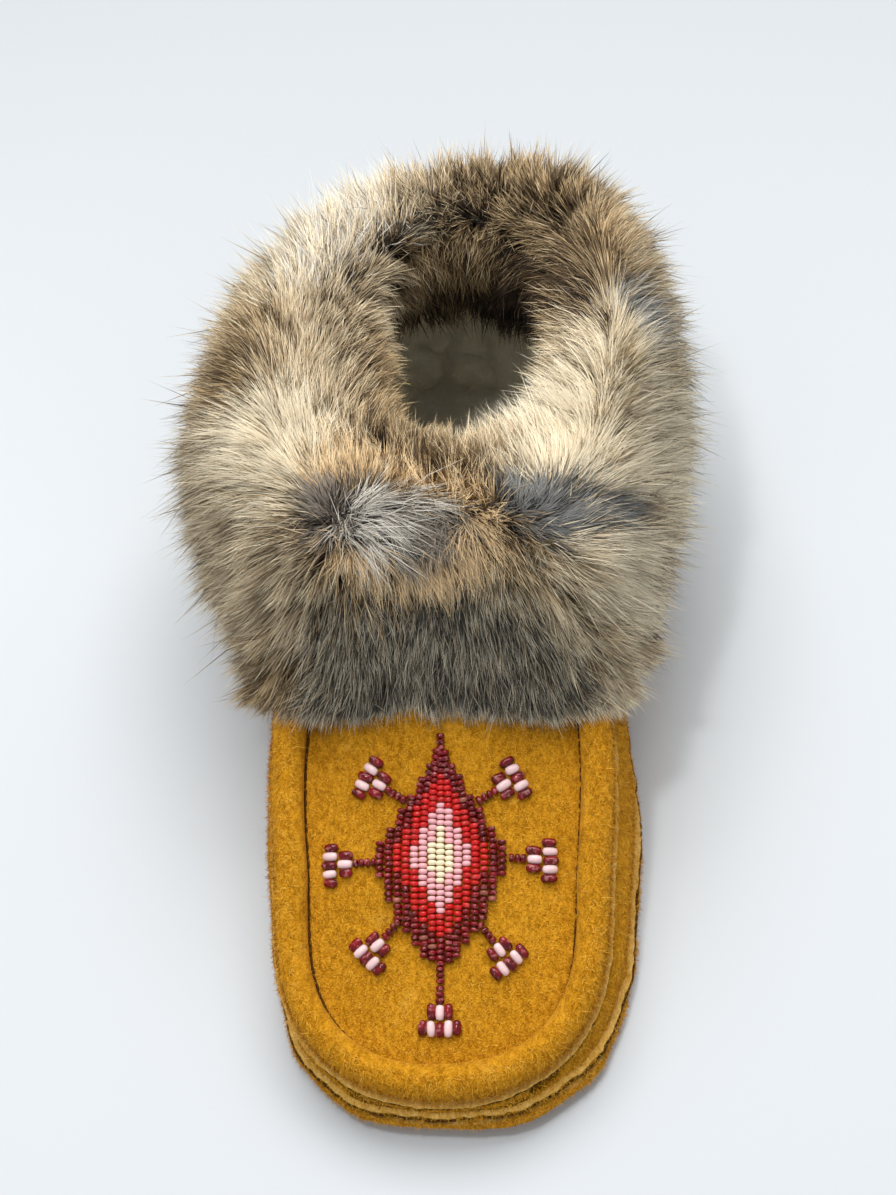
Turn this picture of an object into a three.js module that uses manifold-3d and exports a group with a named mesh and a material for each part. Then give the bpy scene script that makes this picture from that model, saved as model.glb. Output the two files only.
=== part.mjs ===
// A beaded moccasin: a suede wall with a rolled seam round a beaded vamp, on a flat sole, with a fur cuff.
// Millimetres, +Z up. The toe points along -Y. While the pieces are worked out, Y is the distance from the
// toe tip and the floor is at zero; the whole shoe is then set about the middle of its box.
import * as THREE from "three";
import { mergeVertices } from "three/addons/utils/BufferGeometryUtils.js";
import Module from "manifold-3d";

const wasm = await Module();
wasm.setup();
const { degToRad, lerp, smoothstep } = THREE.MathUtils;

// Sizes of the last
const LENGTH = 238; // sole, toe to heel
const TOE_CENTRE = 52; // the rounded toe is swept about this point
const HEEL_CENTRE = 200; // the rounded heel is swept about this point
const TOE_SQUARE = 2.3; // exponent of the toe's curve; 2 is an ellipse
const HEEL_SQUARE = 2.2;
const LEAN = 2; // the forefoot's wall and sole stand this far to the right of the rolled seam
const LEAN_FROM = 60; // and the lean fades out between these two distances
const LEAN_TO = 130;
const THROAT = 138; // end of the vamp, where the collar begins

// Half width of the wall's foot, by the distance from the toe tip
const PLAN = [
  { along: 52, half: 45.0 },
  { along: 80, half: 47.2 },
  { along: 125, half: 43.0 },
  { along: 165, half: 37.5 },
  { along: 200, half: 36.5 },
];

// The rolled seam: height of its middle, how far its middle stands out from the wall's foot, the fullness of
// the wall under it, and the rise of the vamp's crown between its two sides
const SEAM = [
  { along: 0, height: 16.5, out: -3.0, belly: 0.6, crown: 0.5 },
  { along: 14, height: 19, out: -3.6, belly: 1.2, crown: 1.5 },
  { along: 40, height: 26, out: -5.6, belly: 2.0, crown: 3.0 },
  { along: 80, height: 39, out: -6.5, belly: 2.2, crown: 5.0 },
  { along: 110, height: 51, out: -6.8, belly: 2.2, crown: 7.0 },
  { along: 140, height: 62, out: -7.4, belly: 2.0, crown: 8.0 },
];

// The ankle: height of the collar's edge and how far it leans in over the wall's foot
const COLLAR = [
  { along: 110, height: 64, inward: 7 },
  { along: 150, height: 67, inward: 8 },
  { along: 200, height: 66, inward: 6 },
  { along: 238, height: 72, inward: 3 },
];

// Suede, seam and sole
const WALL = 1.8; // thickness of the suede
const BELLY_LOW = 0.3; // the wall's fullness, at two shares of its height under the crease
const BELLY_HIGH = 0.65;
const BELLY_LESS = 0.8; // and less at the lower one
const ANKLE_CURVE = 1.6; // how late the ankle leans in to the collar
const GAP = 0.3; // between pieces that meet
const BEAD_GAP = 0.5; // under the beadwork
const ROLL = 4.7; // radius of the rolled seam
const ROLL_TURNS = [-45, -5, 35, 75, 115, 155, 200]; // degrees round the roll, from crease to inner lip
const CREASE_IN = 2.4; // the crease, from the roll's middle
const CREASE_DROP = 5.2;
const EDGE_OUT = 1.5; // raw edge of the wall, turned out along the sole
const EDGE_THICK = 1.5;
const EDGE_RISE = 0.9;
const CURL_FROM = 94; // under the cuff the rolled seam uncurls from here, down to this share of its turn
const CURL_LEFT = 0.45;
const JOIN_FROM = 116; // and it dies into the collar between these two distances
const JOIN_TO = 144;
const SOLE_THICK = 4;
const SOLE_LIP = 2.6; // the sole beyond the wall's foot
const SOLE_ROUND = 3.6; // width of the rolled edge underneath
// The sole's edge: distance in from its lip, by the share of its thickness
const SOLE_EDGE = [
  { share: 0, inward: SOLE_ROUND },
  { share: 0.25, inward: 0.8 },
  { share: 0.58, inward: 0 },
  { share: 0.9, inward: 0.4 },
  { share: 1, inward: 1.0 },
];
const TOE_SPRING = 3;
const SPRING_END = 44;
const INSOLE_THICK = 4;
const INSOLE_ROUND = 1.2;
const VAMP_COLUMNS = 8;
const CROWN_WIDE = 20; // half width at which the vamp has its whole crown
const LAST_ROW = 3; // least length of the vamp's last row, at the throat
const VAMP_SEAT = 0.5; // the vamp's edge, from the seam's lip and above it
const VAMP_RISE = 0.2;

// Fur cuff: sections about the collar's middle, by the turn from the toe (right positive). Reach is measured
// from the collar's middle: the skirt's hem, the side, the crest and the mouth, each with its height, and the
// fur's inner face where it reaches the collar.
const CUFF_CENTRE = 184;
const CUFF_NAMES = ["turn", "hem", "hemUp", "side", "sideUp", "crest", "crestUp", "mouth", "mouthUp", "leg"];
const CUFF = [
  [-180, 62, 36, 70, 64, 51, 97, 33, 84, 33],
  [-140, 59, 36, 67, 62, 47, 95, 24, 84, 28],
  [-105, 55, 35, 68, 60, 43, 94, 15, 82, 22],
  [-68, 64, 35, 75, 57, 45, 92, 14, 82, 22],
  [-42, 86, 36, 83, 58, 50, 91, 18, 82, 25],
  [-28, 102, 47, 87, 67, 51, 91, 21, 82, 28],
  [0, 93, 50, 79, 72, 47, 91, 26, 82, 29],
  [28, 102, 47, 87, 67, 51, 91, 28, 82, 28],
  [42, 84, 36, 80, 58, 50, 91, 29, 82, 28],
  [68, 60, 35, 67, 57, 45, 93, 28, 82, 27],
  [105, 55, 35, 65, 63, 46, 97, 28, 83, 27],
  [140, 62, 36, 74, 68, 56, 99, 32, 84, 31],
  [180, 62, 36, 70, 64, 51, 97, 33, 84, 33],
].map((row) => Object.fromEntries(CUFF_NAMES.map((name, i) => [name, row[i]])));
// The cuff's round face between those: shares of the way from one to the next, outward and upward
const CUFF_ROUND = [
  { from: "hem", to: "side", out: 0.95, up: 0.45 },
  { from: "hem", to: "side", out: 1, up: 1 },
  { from: "side", to: "crest", out: 0.3, up: 0.62 },
  { from: "side", to: "crest", out: 0.66, up: 0.92 },
  { from: "side", to: "crest", out: 1, up: 1 },
  { from: "crest", to: "mouth", out: 0.7, up: 0.3 },
];
const CUFF_STEPS = 36;
const CUFF_BURIED = 58; // height of the cuff's core, inside the collar before it is cut
const CORE_WIDE = 6;
const HEM_WIDE = 15; // the hem's underside, and its rise
const HEM_RISE = 3;
const LEG_DROP = 24; // the cuff's inner leg, below the collar's edge
const LEG_FRONT = 8; // and less at the throat, over the instep, up to this far behind it
const LEG_FADE = 34;
const LEG_RISE = 7;
const LEG_THICK = 6.5;

// Locks of fur: rows round the cuff, each at a share of the way from the hem to the mouth
const LOCK_ROWS = [
  { place: 0.05, count: 27, long: 17, wide: 7.0 },
  { place: 0.26, count: 23, long: 18, wide: 7.4 },
  { place: 0.48, count: 19, long: 17, wide: 7.2 },
  { place: 0.7, count: 15, long: 14, wide: 6.4 },
  { place: 0.92, count: 11, long: 9, wide: 5.0 },
];
const LOCK_SIDES = 3;
const LOCK_ROOT = 0.35; // share of a lock that is set into the cuff
const LOCK_FLAT = 0.55;
const LOCK_ALONG = 0.75; // how far a lock lies along the face, and how far it stands off
const LOCK_STAND = 0.55;
const LOCK_SWAY = 0.5; // spread of the locks sideways, round the cuff, along its face and in length
const LOCK_JITTER = 0.6;
const LOCK_STAGGER = 0.07;
const LOCK_SHORTEST = 0.75;
const LOCK_LONGEST = 1.25;

// Beadwork: strung beads side by side
const BEAD_WIDE = 2.25; // from one string to the next
const BEAD_LONG = 1.5;
const BEAD_TALL = 1.7;
const BAR_ROUND = 0.25; // a row of strings, in beads: the rounding of its back, its foot and its spread
const BAR_FOOT = 0.35;
const BAR_SPREAD = 0.1;
const BAR_STEP = 15;
const DIAMOND_AT = 57.5; // middle of the diamond
const DIAMOND = [
  { string: 0, up: 20, down: 20 },
  { string: 1, up: 17, down: 17 },
  { string: 2, up: 15, down: 16 },
  { string: 3, up: 13, down: 14 },
  { string: 4, up: 10, down: 12 },
  { string: 5, up: 8, down: 10 },
  { string: 6, up: 5, down: 7 },
  { string: 7, up: 3, down: 3 },
];
// A fan widens from its stem: strings side by side and the beads on each
const FAN = [
  { strings: 1, from: 0, beads: 3.5 },
  { strings: 3, from: 3, beads: 2.5 },
  { strings: 5, from: 5, beads: 2 },
];
const FANS = [
  { across: -11.4, along: 72.6, turn: 122 },
  { across: 11.6, along: 72.2, turn: -122 },
  { across: -19.4, along: 56.6, turn: 90 },
  { across: 18.6, along: 57.5, turn: -90 },
  { across: -12.4, along: 40.8, turn: 44 },
  { across: 11.6, along: 39.8, turn: -40 },
  { across: 0, along: 25.8, turn: 0 },
];

const curve = (table, key, name) => {
  const at = table.map((row) => row[key]);
  const value = table.map((row) => row[name]);
  const line = new THREE.CubicInterpolant(at, value, 1, new Float64Array(1));
  return (x) => line.evaluate(x)[0];
};
const halfWidth = curve(PLAN, "along", "half");
const seamHeight = curve(SEAM, "along", "height");
const seamOut = curve(SEAM, "along", "out");
const belly = curve(SEAM, "along", "belly");
const crown = curve(SEAM, "along", "crown");
const collarHeight = curve(COLLAR, "along", "height");
const collarInward = curve(COLLAR, "along", "inward");
const spring = (along) => TOE_SPRING * Math.pow(Math.max(0, 1 - along / SPRING_END), 2);
const leanRight = (along, up) => {
  const forward = 1 - smoothstep(along, LEAN_FROM, LEAN_TO);
  return LEAN * forward * (1 - smoothstep(up, SOLE_THICK, seamHeight(along) - ROLL));
};
const footHeight = (along) => SOLE_THICK + GAP + spring(along);

// Solids from rings of points. A ring that is drawn together to a line or a point closes an end.
function ringSolid(rings, endless = false) {
  const around = rings[0].length;
  const points = rings.flat();
  const faces = [];
  const bands = endless ? rings.length : rings.length - 1;
  for (let i = 0; i < bands; i += 1) {
    const low = i * around;
    const high = ((i + 1) % rings.length) * around;
    for (let k = 0; k < around; k += 1) {
      const next = (k + 1) % around;
      faces.push(low + k, low + next, high + next, low + k, high + next, high + k);
    }
  }
  const loose = new THREE.BufferGeometry().setFromPoints(points);
  loose.setIndex(faces);
  return tidy(loose);
}

// Merged corners, no empty triangles, and faces that look outward
function tidy(geometry) {
  geometry.deleteAttribute("normal");
  geometry.deleteAttribute("uv");
  const merged = mergeVertices(geometry, 1e-3);
  const spot = merged.attributes.position;
  const index = merged.index.array;
  const kept = [];
  let volume = 0;
  const [a, b, c] = [new THREE.Vector3(), new THREE.Vector3(), new THREE.Vector3()];
  for (let i = 0; i < index.length; i += 3) {
    const [p, q, r] = index.slice(i, i + 3);
    if (p !== q && q !== r && r !== p) {
      kept.push(p, q, r);
      a.fromBufferAttribute(spot, p);
      b.fromBufferAttribute(spot, q);
      c.fromBufferAttribute(spot, r);
      volume += a.dot(b.cross(c));
    }
  }
  merged.setIndex(volume > 0 ? kept : kept.reverse());
  return merged;
}

function toManifold(geometry) {
  const vertProperties = new Float32Array(geometry.attributes.position.array);
  const triVerts = new Uint32Array(geometry.index.array);
  return new wasm.Manifold(new wasm.Mesh({ numProp: 3, vertProperties, triVerts }));
}

function toGeometry(manifold) {
  const mesh = manifold.getMesh();
  const geometry = new THREE.BufferGeometry();
  geometry.setAttribute("position", new THREE.BufferAttribute(new Float32Array(mesh.vertProperties), 3));
  geometry.setIndex(Array.from(mesh.triVerts));
  return geometry;
}

// Stations round the shoe: the toe's sweep, the sides and the heel's sweep, on the right, then on the left
const TOE_STEPS = 12;
const SIDE_STEPS = 13;
const HEEL_STEPS = 8;
const HALF_LOOP = TOE_STEPS + SIDE_STEPS + HEEL_STEPS;

function endReach(turn, long, half, square) {
  const a = Math.abs(Math.cos(turn)) / long;
  const b = Math.abs(Math.sin(turn)) / half;
  return Math.pow(Math.pow(a, square) + Math.pow(b, square), -1 / square);
}

function stationAt(step, side) {
  const quarter = Math.PI / 2;
  let centre = TOE_CENTRE;
  let turn = (quarter * step) / TOE_STEPS;
  let reach = endReach(turn, TOE_CENTRE, halfWidth(TOE_CENTRE), TOE_SQUARE);
  if (step > TOE_STEPS) {
    centre = lerp(TOE_CENTRE, HEEL_CENTRE, (step - TOE_STEPS) / SIDE_STEPS);
    turn = quarter;
    reach = halfWidth(centre);
  }
  if (step > TOE_STEPS + SIDE_STEPS) {
    centre = HEEL_CENTRE;
    turn = quarter * (1 + (step - TOE_STEPS - SIDE_STEPS) / HEEL_STEPS);
    reach = endReach(turn, LENGTH - HEEL_CENTRE, halfWidth(HEEL_CENTRE), HEEL_SQUARE);
  }
  const across = side * Math.sin(turn);
  const back = -Math.cos(turn);
  return { centre, across, back, reach, along: centre + back * reach };
}

const RIGHT = Array.from({ length: HALF_LOOP + 1 }, (_, step) => stationAt(step, 1));
const LEFT = Array.from({ length: HALF_LOOP + 1 }, (_, step) => stationAt(step, -1));
const LOOP = [...RIGHT, ...LEFT.slice(1, HALF_LOOP).reverse()];

function pointAt(station, out, up) {
  const x = station.across * (station.reach + out);
  const y = station.centre + station.back * (station.reach + out);
  return new THREE.Vector3(x + leanRight(y, up), y, up);
}

// The wall's outline at a station, from its foot to the lip of the rolled seam or to the collar's edge. Inset
// is the distance in from the outer face, and lift raises the seam and the collar.
function wallOutline(along, inset, lift = 0) {
  const foot = footHeight(along);
  const seam = seamHeight(along);
  const middle = seamOut(along);
  const crease = seam - CREASE_DROP;
  const top = collarHeight(along) + lift;
  const lean = collarInward(along);
  const joined = smoothstep(along, JOIN_FROM, JOIN_TO);
  const curl = lerp(1, CURL_LEFT, smoothstep(along, CURL_FROM, JOIN_TO));
  const turns = ROLL_TURNS.map((turn) => degToRad(ROLL_TURNS[0] + (turn - ROLL_TURNS[0]) * curl));
  const edge = inset > 0 ? -inset : EDGE_OUT - inset;
  const rise = foot + EDGE_THICK + EDGE_RISE;
  const outline = [
    [edge, foot],
    [edge, foot + EDGE_THICK],
    [-inset, rise],
  ];
  const beside = [
    [belly(along) * BELLY_LESS - inset, lerp(rise, crease, BELLY_LOW)],
    [belly(along) - inset, lerp(rise, crease, BELLY_HIGH)],
    [middle + CREASE_IN - inset, crease],
    ...turns.map((turn) => [
      middle + (ROLL - inset) * Math.cos(turn),
      seam + lift + (ROLL - inset) * Math.sin(turn),
    ]),
  ];
  const ankle = beside.map((_, i) => {
    const share = (i + 1) / beside.length;
    const bulge = belly(along) * Math.sin(Math.PI * Math.min(1, share * ANKLE_CURVE));
    return [bulge - lean * Math.pow(share, ANKLE_CURVE) - inset, lerp(rise, top, share)];
  });
  beside.forEach((spot, i) => {
    outline.push([lerp(spot[0], ankle[i][0], joined), lerp(spot[1], ankle[i][1], joined)]);
  });
  return outline;
}

const wallRings = (stations, inset, lift) => {
  const outlines = stations.map((station) => wallOutline(station.along, inset, lift));
  return outlines[0].map((_, i) => stations.map((station, k) => pointAt(station, ...outlines[k][i])));
};

function makeUpper() {
  return ringSolid([...wallRings(LOOP, 0), ...wallRings(LOOP, WALL).reverse()], true);
}

// The line down the middle of a ring of spots, which closes the ring flat
const spine = (spots) => spots.map((spot) => spot.clone().setX(leanRight(spot.y, spot.z)));

function makeSole() {
  const rings = SOLE_EDGE.map(({ share, inward }) =>
    LOOP.map((s) => pointAt(s, SOLE_LIP - inward, share * SOLE_THICK + spring(s.along))),
  );
  return ringSolid([spine(rings[0]), ...rings, spine(rings.at(-1))]);
}

function makeInsole() {
  const inside = -WALL - GAP;
  const ring = (out, up) => LOOP.map((s) => pointAt(s, out, footHeight(s.along) + up));
  const under = ring(inside, 0);
  const face = ring(inside - INSOLE_ROUND, INSOLE_THICK);
  return ringSolid([spine(under), under, ring(inside, INSOLE_THICK - INSOLE_ROUND), face, spine(face)]);
}

// The vamp's edge at a station: inside the lip of the rolled seam
function vampEdge(station) {
  const [outerLip, innerLip] = [0, WALL].map((inset) => wallOutline(station.along, inset).at(-1));
  return pointAt(station, Math.min(outerLip[0], innerLip[0]) - VAMP_SEAT, outerLip[1] + VAMP_RISE);
}

function vampRow(edge, lift) {
  const rise = crown(edge.y) * smoothstep(edge.x, 0, CROWN_WIDE);
  return Array.from({ length: VAMP_COLUMNS + 1 }, (_, i) => {
    const share = (2 * i) / VAMP_COLUMNS - 1;
    return new THREE.Vector3(edge.x * share, edge.y, edge.z + rise * (1 - share * share) + lift);
  });
}

// Stations that hold the vamp, the last one moved to the throat
const VAMP_EDGES = RIGHT.map(vampEdge).filter((edge) => edge.y < THROAT - LAST_ROW);
const lastSide = { ...stationAt(TOE_STEPS + 1, 1), centre: THROAT, along: THROAT, reach: halfWidth(THROAT) };
VAMP_EDGES.push(vampEdge(lastSide));

function makeVamp(grow = 0) {
  const edges = VAMP_EDGES.map((edge) => edge.clone().setX(edge.x + grow * smoothstep(edge.x, 0, 1)));
  edges.at(-1).y += grow;
  const rings = edges.map((edge) => [...vampRow(edge, grow), ...vampRow(edge, -WALL - grow).reverse()]);
  const throat = vampRow(edges.at(-1), -WALL / 2);
  rings.push([...throat, ...throat.slice().reverse()]);
  return ringSolid(rings);
}

// Height of the vamp's face at a spot on it
function vampHeight(across, along) {
  const i = Math.max(1, VAMP_EDGES.findIndex((edge) => edge.y > along));
  const share = (along - VAMP_EDGES[i - 1].y) / (VAMP_EDGES[i].y - VAMP_EDGES[i - 1].y);
  const edge = VAMP_EDGES[i - 1].clone().lerp(VAMP_EDGES[i], share);
  const rise = crown(along) * smoothstep(edge.x, 0, CROWN_WIDE);
  return edge.z + rise * (1 - Math.pow(across / edge.x, 2));
}

// The last as one filled form, a gap larger than the upper and the vamp
function filledLast() {
  const rings = RIGHT.map((station, i) => {
    const outline = wallOutline(station.along, -GAP, GAP);
    const right = outline.map((spot) => pointAt(station, ...spot));
    const left = outline.map((spot) => pointAt(LEFT[i], ...spot));
    const lip = right.at(-1);
    const open = smoothstep(station.along, THROAT, THROAT + LAST_ROW);
    const across = vampRow(lip, 2 * GAP).map((spot) => spot.setZ(lerp(spot.z, lip.z, open)));
    return [...right, ...across.slice(1, -1).reverse(), ...left.reverse()];
  });
  return toManifold(ringSolid(rings));
}

// A section of the cuff: points from the hem over the shoulder and the crest to the mouth, then back under
const cuffCurve = Object.fromEntries(
  Object.keys(CUFF[0]).map((name) => [name, curve(CUFF, "turn", name)]),
);

function cuffFace(turn) {
  const at = Object.fromEntries(Object.keys(cuffCurve).map((name) => [name, cuffCurve[name](turn)]));
  return [
    [at.hem, at.hemUp],
    ...CUFF_ROUND.map(({ from, to, out, up }) => [
      lerp(at[from], at[to], out),
      lerp(at[`${from}Up`], at[`${to}Up`], up),
    ]),
    [at.mouth, at.mouthUp],
  ];
}

function cuffPoint(turn, reach, up) {
  const angle = degToRad(turn);
  return new THREE.Vector3(Math.sin(angle) * reach, CUFF_CENTRE - Math.cos(angle) * reach, up);
}

function cuffSection(turn) {
  const face = cuffFace(turn);
  const [hem] = face;
  const leg = cuffCurve.leg(turn);
  const under = [
    [leg, CUFF_BURIED],
    [leg + CORE_WIDE, CUFF_BURIED],
    [hem[0] - HEM_WIDE, hem[1] + HEM_RISE],
  ];
  return [...face, ...under].map(([reach, up]) => cuffPoint(turn, reach, up));
}

// A steady scatter between zero and one
const scatter = (n) => {
  const value = Math.sin(n * 12.9898) * 43758.5453;
  return value - Math.floor(value);
};

// One lock: a flat spike set into the cuff's face, leaning along the hair
function makeLock(row, i) {
  const [jitter, stagger, sway, size] = [0, 1, 2, 3].map((n) => scatter(i + row.place * 1000 + n * 7));
  const turn = (360 * (i + LOCK_JITTER * jitter)) / row.count - 180;
  const face = cuffFace(turn);
  const along = (row.place + LOCK_STAGGER * (stagger - 0.5)) * (face.length - 1);
  const step = Math.max(0, Math.min(face.length - 2, Math.floor(along)));
  const spot = face[step].map((value, k) => lerp(value, face[step + 1][k], along - step));
  const run = new THREE.Vector2(...face[step]).sub(new THREE.Vector2(...face[step + 1])).normalize();
  const off = new THREE.Vector2(-run.y, run.x);
  const flow = run.multiplyScalar(LOCK_ALONG).addScaledVector(off, LOCK_STAND).normalize();
  const angle = degToRad(turn);
  const out = new THREE.Vector3(Math.sin(angle), -Math.cos(angle), 0);
  const beside = new THREE.Vector3(Math.cos(angle), Math.sin(angle), 0);
  const hair = out.clone().multiplyScalar(flow.x).addScaledVector(beside, LOCK_SWAY * (sway - 0.5));
  hair.setZ(flow.y).normalize();
  const long = row.long * lerp(LOCK_SHORTEST, LOCK_LONGEST, size);
  const spike = new THREE.ConeGeometry(row.wide, long, LOCK_SIDES, 1);
  spike.scale(1, 1, LOCK_FLAT);
  spike.translate(0, long * (0.5 - LOCK_ROOT), 0);
  const flat = new THREE.Vector3().crossVectors(beside, hair).normalize();
  const wide = new THREE.Vector3().crossVectors(hair, flat).normalize();
  spike.applyMatrix4(new THREE.Matrix4().makeBasis(wide, hair, flat));
  const root = cuffPoint(turn, ...spot);
  spike.translate(root.x, root.y, root.z);
  return toManifold(tidy(spike));
}

// The cuff's inner leg: a short sleeve just inside the collar
function makeLeg() {
  const wallFace = (along) => Math.min(...wallOutline(along, WALL).map(([out]) => out));
  const inside = (stations, inset) =>
    stations
      .filter((station) => station.along > THROAT + GAP)
      .map((station) => pointAt(station, wallFace(station.along) - GAP - inset, 0));
  const loop = (inset) => {
    const right = inside(RIGHT, inset);
    const left = inside(LEFT, inset).reverse().slice(1);
    const front = right[0].clone().setX(0);
    return [front, ...right, ...left].map((spot) =>
      spot.setY(Math.max(spot.y, THROAT + GAP + inset)),
    );
  };
  const low = (spot) => -lerp(LEG_FRONT, LEG_DROP, smoothstep(spot.y, THROAT, THROAT + LEG_FADE));
  const high = () => LEG_RISE;
  const level = (spots, rise) =>
    spots.map((spot) => new THREE.Vector3(spot.x, spot.y, collarHeight(spot.y) + rise(spot)));
  const outer = loop(0);
  const inner = loop(LEG_THICK);
  return toManifold(
    ringSolid(
      [level(outer, low), level(outer, high), level(inner, high), level(inner, low)],
      true,
    ),
  );
}

function makeCuff() {
  const sections = Array.from({ length: CUFF_STEPS }, (_, i) => cuffSection((360 * i) / CUFF_STEPS - 180));
  let fur = toManifold(ringSolid(sections, true));
  for (const row of LOCK_ROWS) {
    for (let i = 0; i < row.count; i += 1) {
      fur = fur.add(makeLock(row, i));
    }
  }
  const shell = [...wallRings(LOOP, -GAP, GAP), ...wallRings(LOOP, WALL + GAP, GAP).reverse()];
  const wall = toManifold(ringSolid(shell, true));
  const vamp = toManifold(makeVamp(GAP));
  const bodies = fur.subtract(filledLast()).add(makeLeg()).subtract(vamp).subtract(wall).decompose();
  return toGeometry(bodies.reduce((most, body) => (body.volume() > most.volume() ? body : most)));
}

// Strings of beads side by side on the vamp: a bar with a rounded back, that follows the vamp's face
function beadStrings(from, to, strings) {
  const steps = Math.max(1, Math.round(from.distanceTo(to) / BAR_STEP));
  const ahead = to.clone().sub(from).normalize();
  const side = new THREE.Vector2(-ahead.y, ahead.x);
  const edge = strings / 2 + BAR_SPREAD;
  const back = strings / 2 - BAR_ROUND;
  const section = [
    [-edge, BAR_FOOT],
    [-edge, 0],
    [edge, 0],
    [edge, BAR_FOOT],
    [back, 1],
    [-back, 1],
  ];
  const rings = Array.from({ length: steps + 1 }, (_, i) => {
    const middle = from.clone().lerp(to, i / steps);
    return section.map(([wide, tall]) => {
      const spot = middle.clone().addScaledVector(side, wide * BEAD_WIDE);
      return new THREE.Vector3(spot.x, spot.y, vampHeight(spot.x, spot.y) + BEAD_GAP + tall * BEAD_TALL);
    });
  });
  const drawn = (ring) => {
    const middle = ring[1].clone().add(ring[2]).multiplyScalar(0.5);
    middle.z += (BAR_FOOT * BEAD_TALL) / 2;
    return ring.map(() => middle.clone());
  };
  return toManifold(ringSolid([drawn(rings[0]), ...rings, drawn(rings.at(-1))]));
}

function makeDiamond() {
  const strings = DIAMOND.flatMap((row) => (row.string ? [row, { ...row, string: -row.string }] : [row]));
  const bars = strings.map(({ string, up, down }) =>
    beadStrings(
      new THREE.Vector2(string * BEAD_WIDE, DIAMOND_AT - down * BEAD_LONG),
      new THREE.Vector2(string * BEAD_WIDE, DIAMOND_AT + up * BEAD_LONG),
      1,
    ),
  );
  return toGeometry(bars.reduce((all, bar) => all.add(bar)));
}

function makeFan(fan) {
  const ahead = new THREE.Vector2(0, -1).rotateAround(new THREE.Vector2(), degToRad(-fan.turn));
  const root = new THREE.Vector2(fan.across, fan.along);
  const levels = FAN.map(({ strings, from, beads }) => {
    const start = root.clone().addScaledVector(ahead, from * BEAD_LONG);
    return beadStrings(start, start.clone().addScaledVector(ahead, beads * BEAD_LONG), strings);
  });
  return toGeometry(levels.reduce((all, level) => all.add(level)));
}

const SUEDE = { color: 0xc08420, roughness: 0.95 };
const FINISH = {
  sole: SUEDE,
  insole: { color: 0xd9d2c2, roughness: 1 },
  upper: SUEDE,
  vamp: SUEDE,
  fur_cuff: { color: 0xa08e78, roughness: 0.9 },
  bead_diamond: { color: 0x8e1420, roughness: 0.2 },
  bead_fan: { color: 0x7a2030, roughness: 0.2 },
};

const shoe = new THREE.Group();
const place = (name, geometry, finish) => {
  const piece = new THREE.Mesh(geometry, new THREE.MeshStandardMaterial(finish));
  piece.name = name;
  shoe.add(piece);
};
place("sole", makeSole(), FINISH.sole);
place("insole", makeInsole(), FINISH.insole);
place("upper", makeUpper(), FINISH.upper);
place("vamp", makeVamp(), FINISH.vamp);
place("fur_cuff", makeCuff(), FINISH.fur_cuff);
place("bead_diamond", makeDiamond(), FINISH.bead_diamond);
FANS.forEach((fan, i) => place(`bead_fan_${i + 1}`, makeFan(fan), FINISH.bead_fan));

// Set the shoe about the middle of its box, on the floor
const box = new THREE.Box3().setFromObject(shoe);
const middle = box.getCenter(new THREE.Vector3());
shoe.position.set(-middle.x, -middle.y, -box.min.z);
const root = new THREE.Group();
root.name = "moccasin";
root.add(shoe);

export default root;
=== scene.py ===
import bpy
import math
import numpy as np
from mathutils import Matrix, Vector, noise
from mathutils.bvhtree import BVHTree
from mathutils.kdtree import KDTree


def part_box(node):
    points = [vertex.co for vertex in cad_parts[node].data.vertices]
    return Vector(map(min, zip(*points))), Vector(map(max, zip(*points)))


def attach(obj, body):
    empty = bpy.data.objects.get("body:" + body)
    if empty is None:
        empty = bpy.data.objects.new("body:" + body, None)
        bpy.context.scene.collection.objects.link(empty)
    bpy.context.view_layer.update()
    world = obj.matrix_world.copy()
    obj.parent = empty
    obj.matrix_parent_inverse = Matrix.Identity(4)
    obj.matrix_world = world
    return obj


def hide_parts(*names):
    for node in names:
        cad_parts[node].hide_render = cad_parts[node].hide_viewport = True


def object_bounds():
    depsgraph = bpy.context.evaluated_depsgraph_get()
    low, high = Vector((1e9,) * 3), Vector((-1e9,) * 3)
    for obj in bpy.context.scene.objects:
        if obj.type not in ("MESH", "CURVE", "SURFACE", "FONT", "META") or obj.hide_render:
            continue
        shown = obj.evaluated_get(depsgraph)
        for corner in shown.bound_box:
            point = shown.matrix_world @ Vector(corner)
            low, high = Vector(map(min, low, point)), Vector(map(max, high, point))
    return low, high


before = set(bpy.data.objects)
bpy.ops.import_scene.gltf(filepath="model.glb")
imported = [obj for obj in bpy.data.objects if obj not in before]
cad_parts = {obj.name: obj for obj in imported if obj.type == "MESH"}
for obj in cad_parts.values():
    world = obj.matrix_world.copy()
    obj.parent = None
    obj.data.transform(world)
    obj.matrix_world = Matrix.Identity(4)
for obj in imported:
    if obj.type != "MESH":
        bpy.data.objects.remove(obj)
cad_low, cad_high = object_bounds()
chance = np.random.default_rng(7)

MM = 0.001
# The sole's lip at the toe and the middle of the cuff from the toe tip, in mm, and the shoe's own lines
SOLE_LIP, CUFF_AT = 2.6, 184
AXIS_X = (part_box("bead_fan_7")[0].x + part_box("bead_fan_7")[1].x) / 2
TOE_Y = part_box("sole")[0].y + SOLE_LIP * MM
CUFF_Y = TOE_Y + CUFF_AT * MM
# Middles of the round toe and the round heel, from the toe tip in mm
TOE_ROUND_AT, HEEL_ROUND_AT = 46, 196
# The middle of the rolled seam: its height at the toe tip in mm, its slope and its curve
ROLL_UP, ROLL_SLOPE, ROLL_CURVE = 16.5, 0.2, 0.00095
# How far the foot of the shoe turns up at the toe tip, and over what length, in mm
TOE_LIFT, TOE_LIFT_LONG = 3, 44
UP, LEVEL = np.array([0, 0, 1]), np.array([1, 1, 0])


# Small tools for modelling

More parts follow.
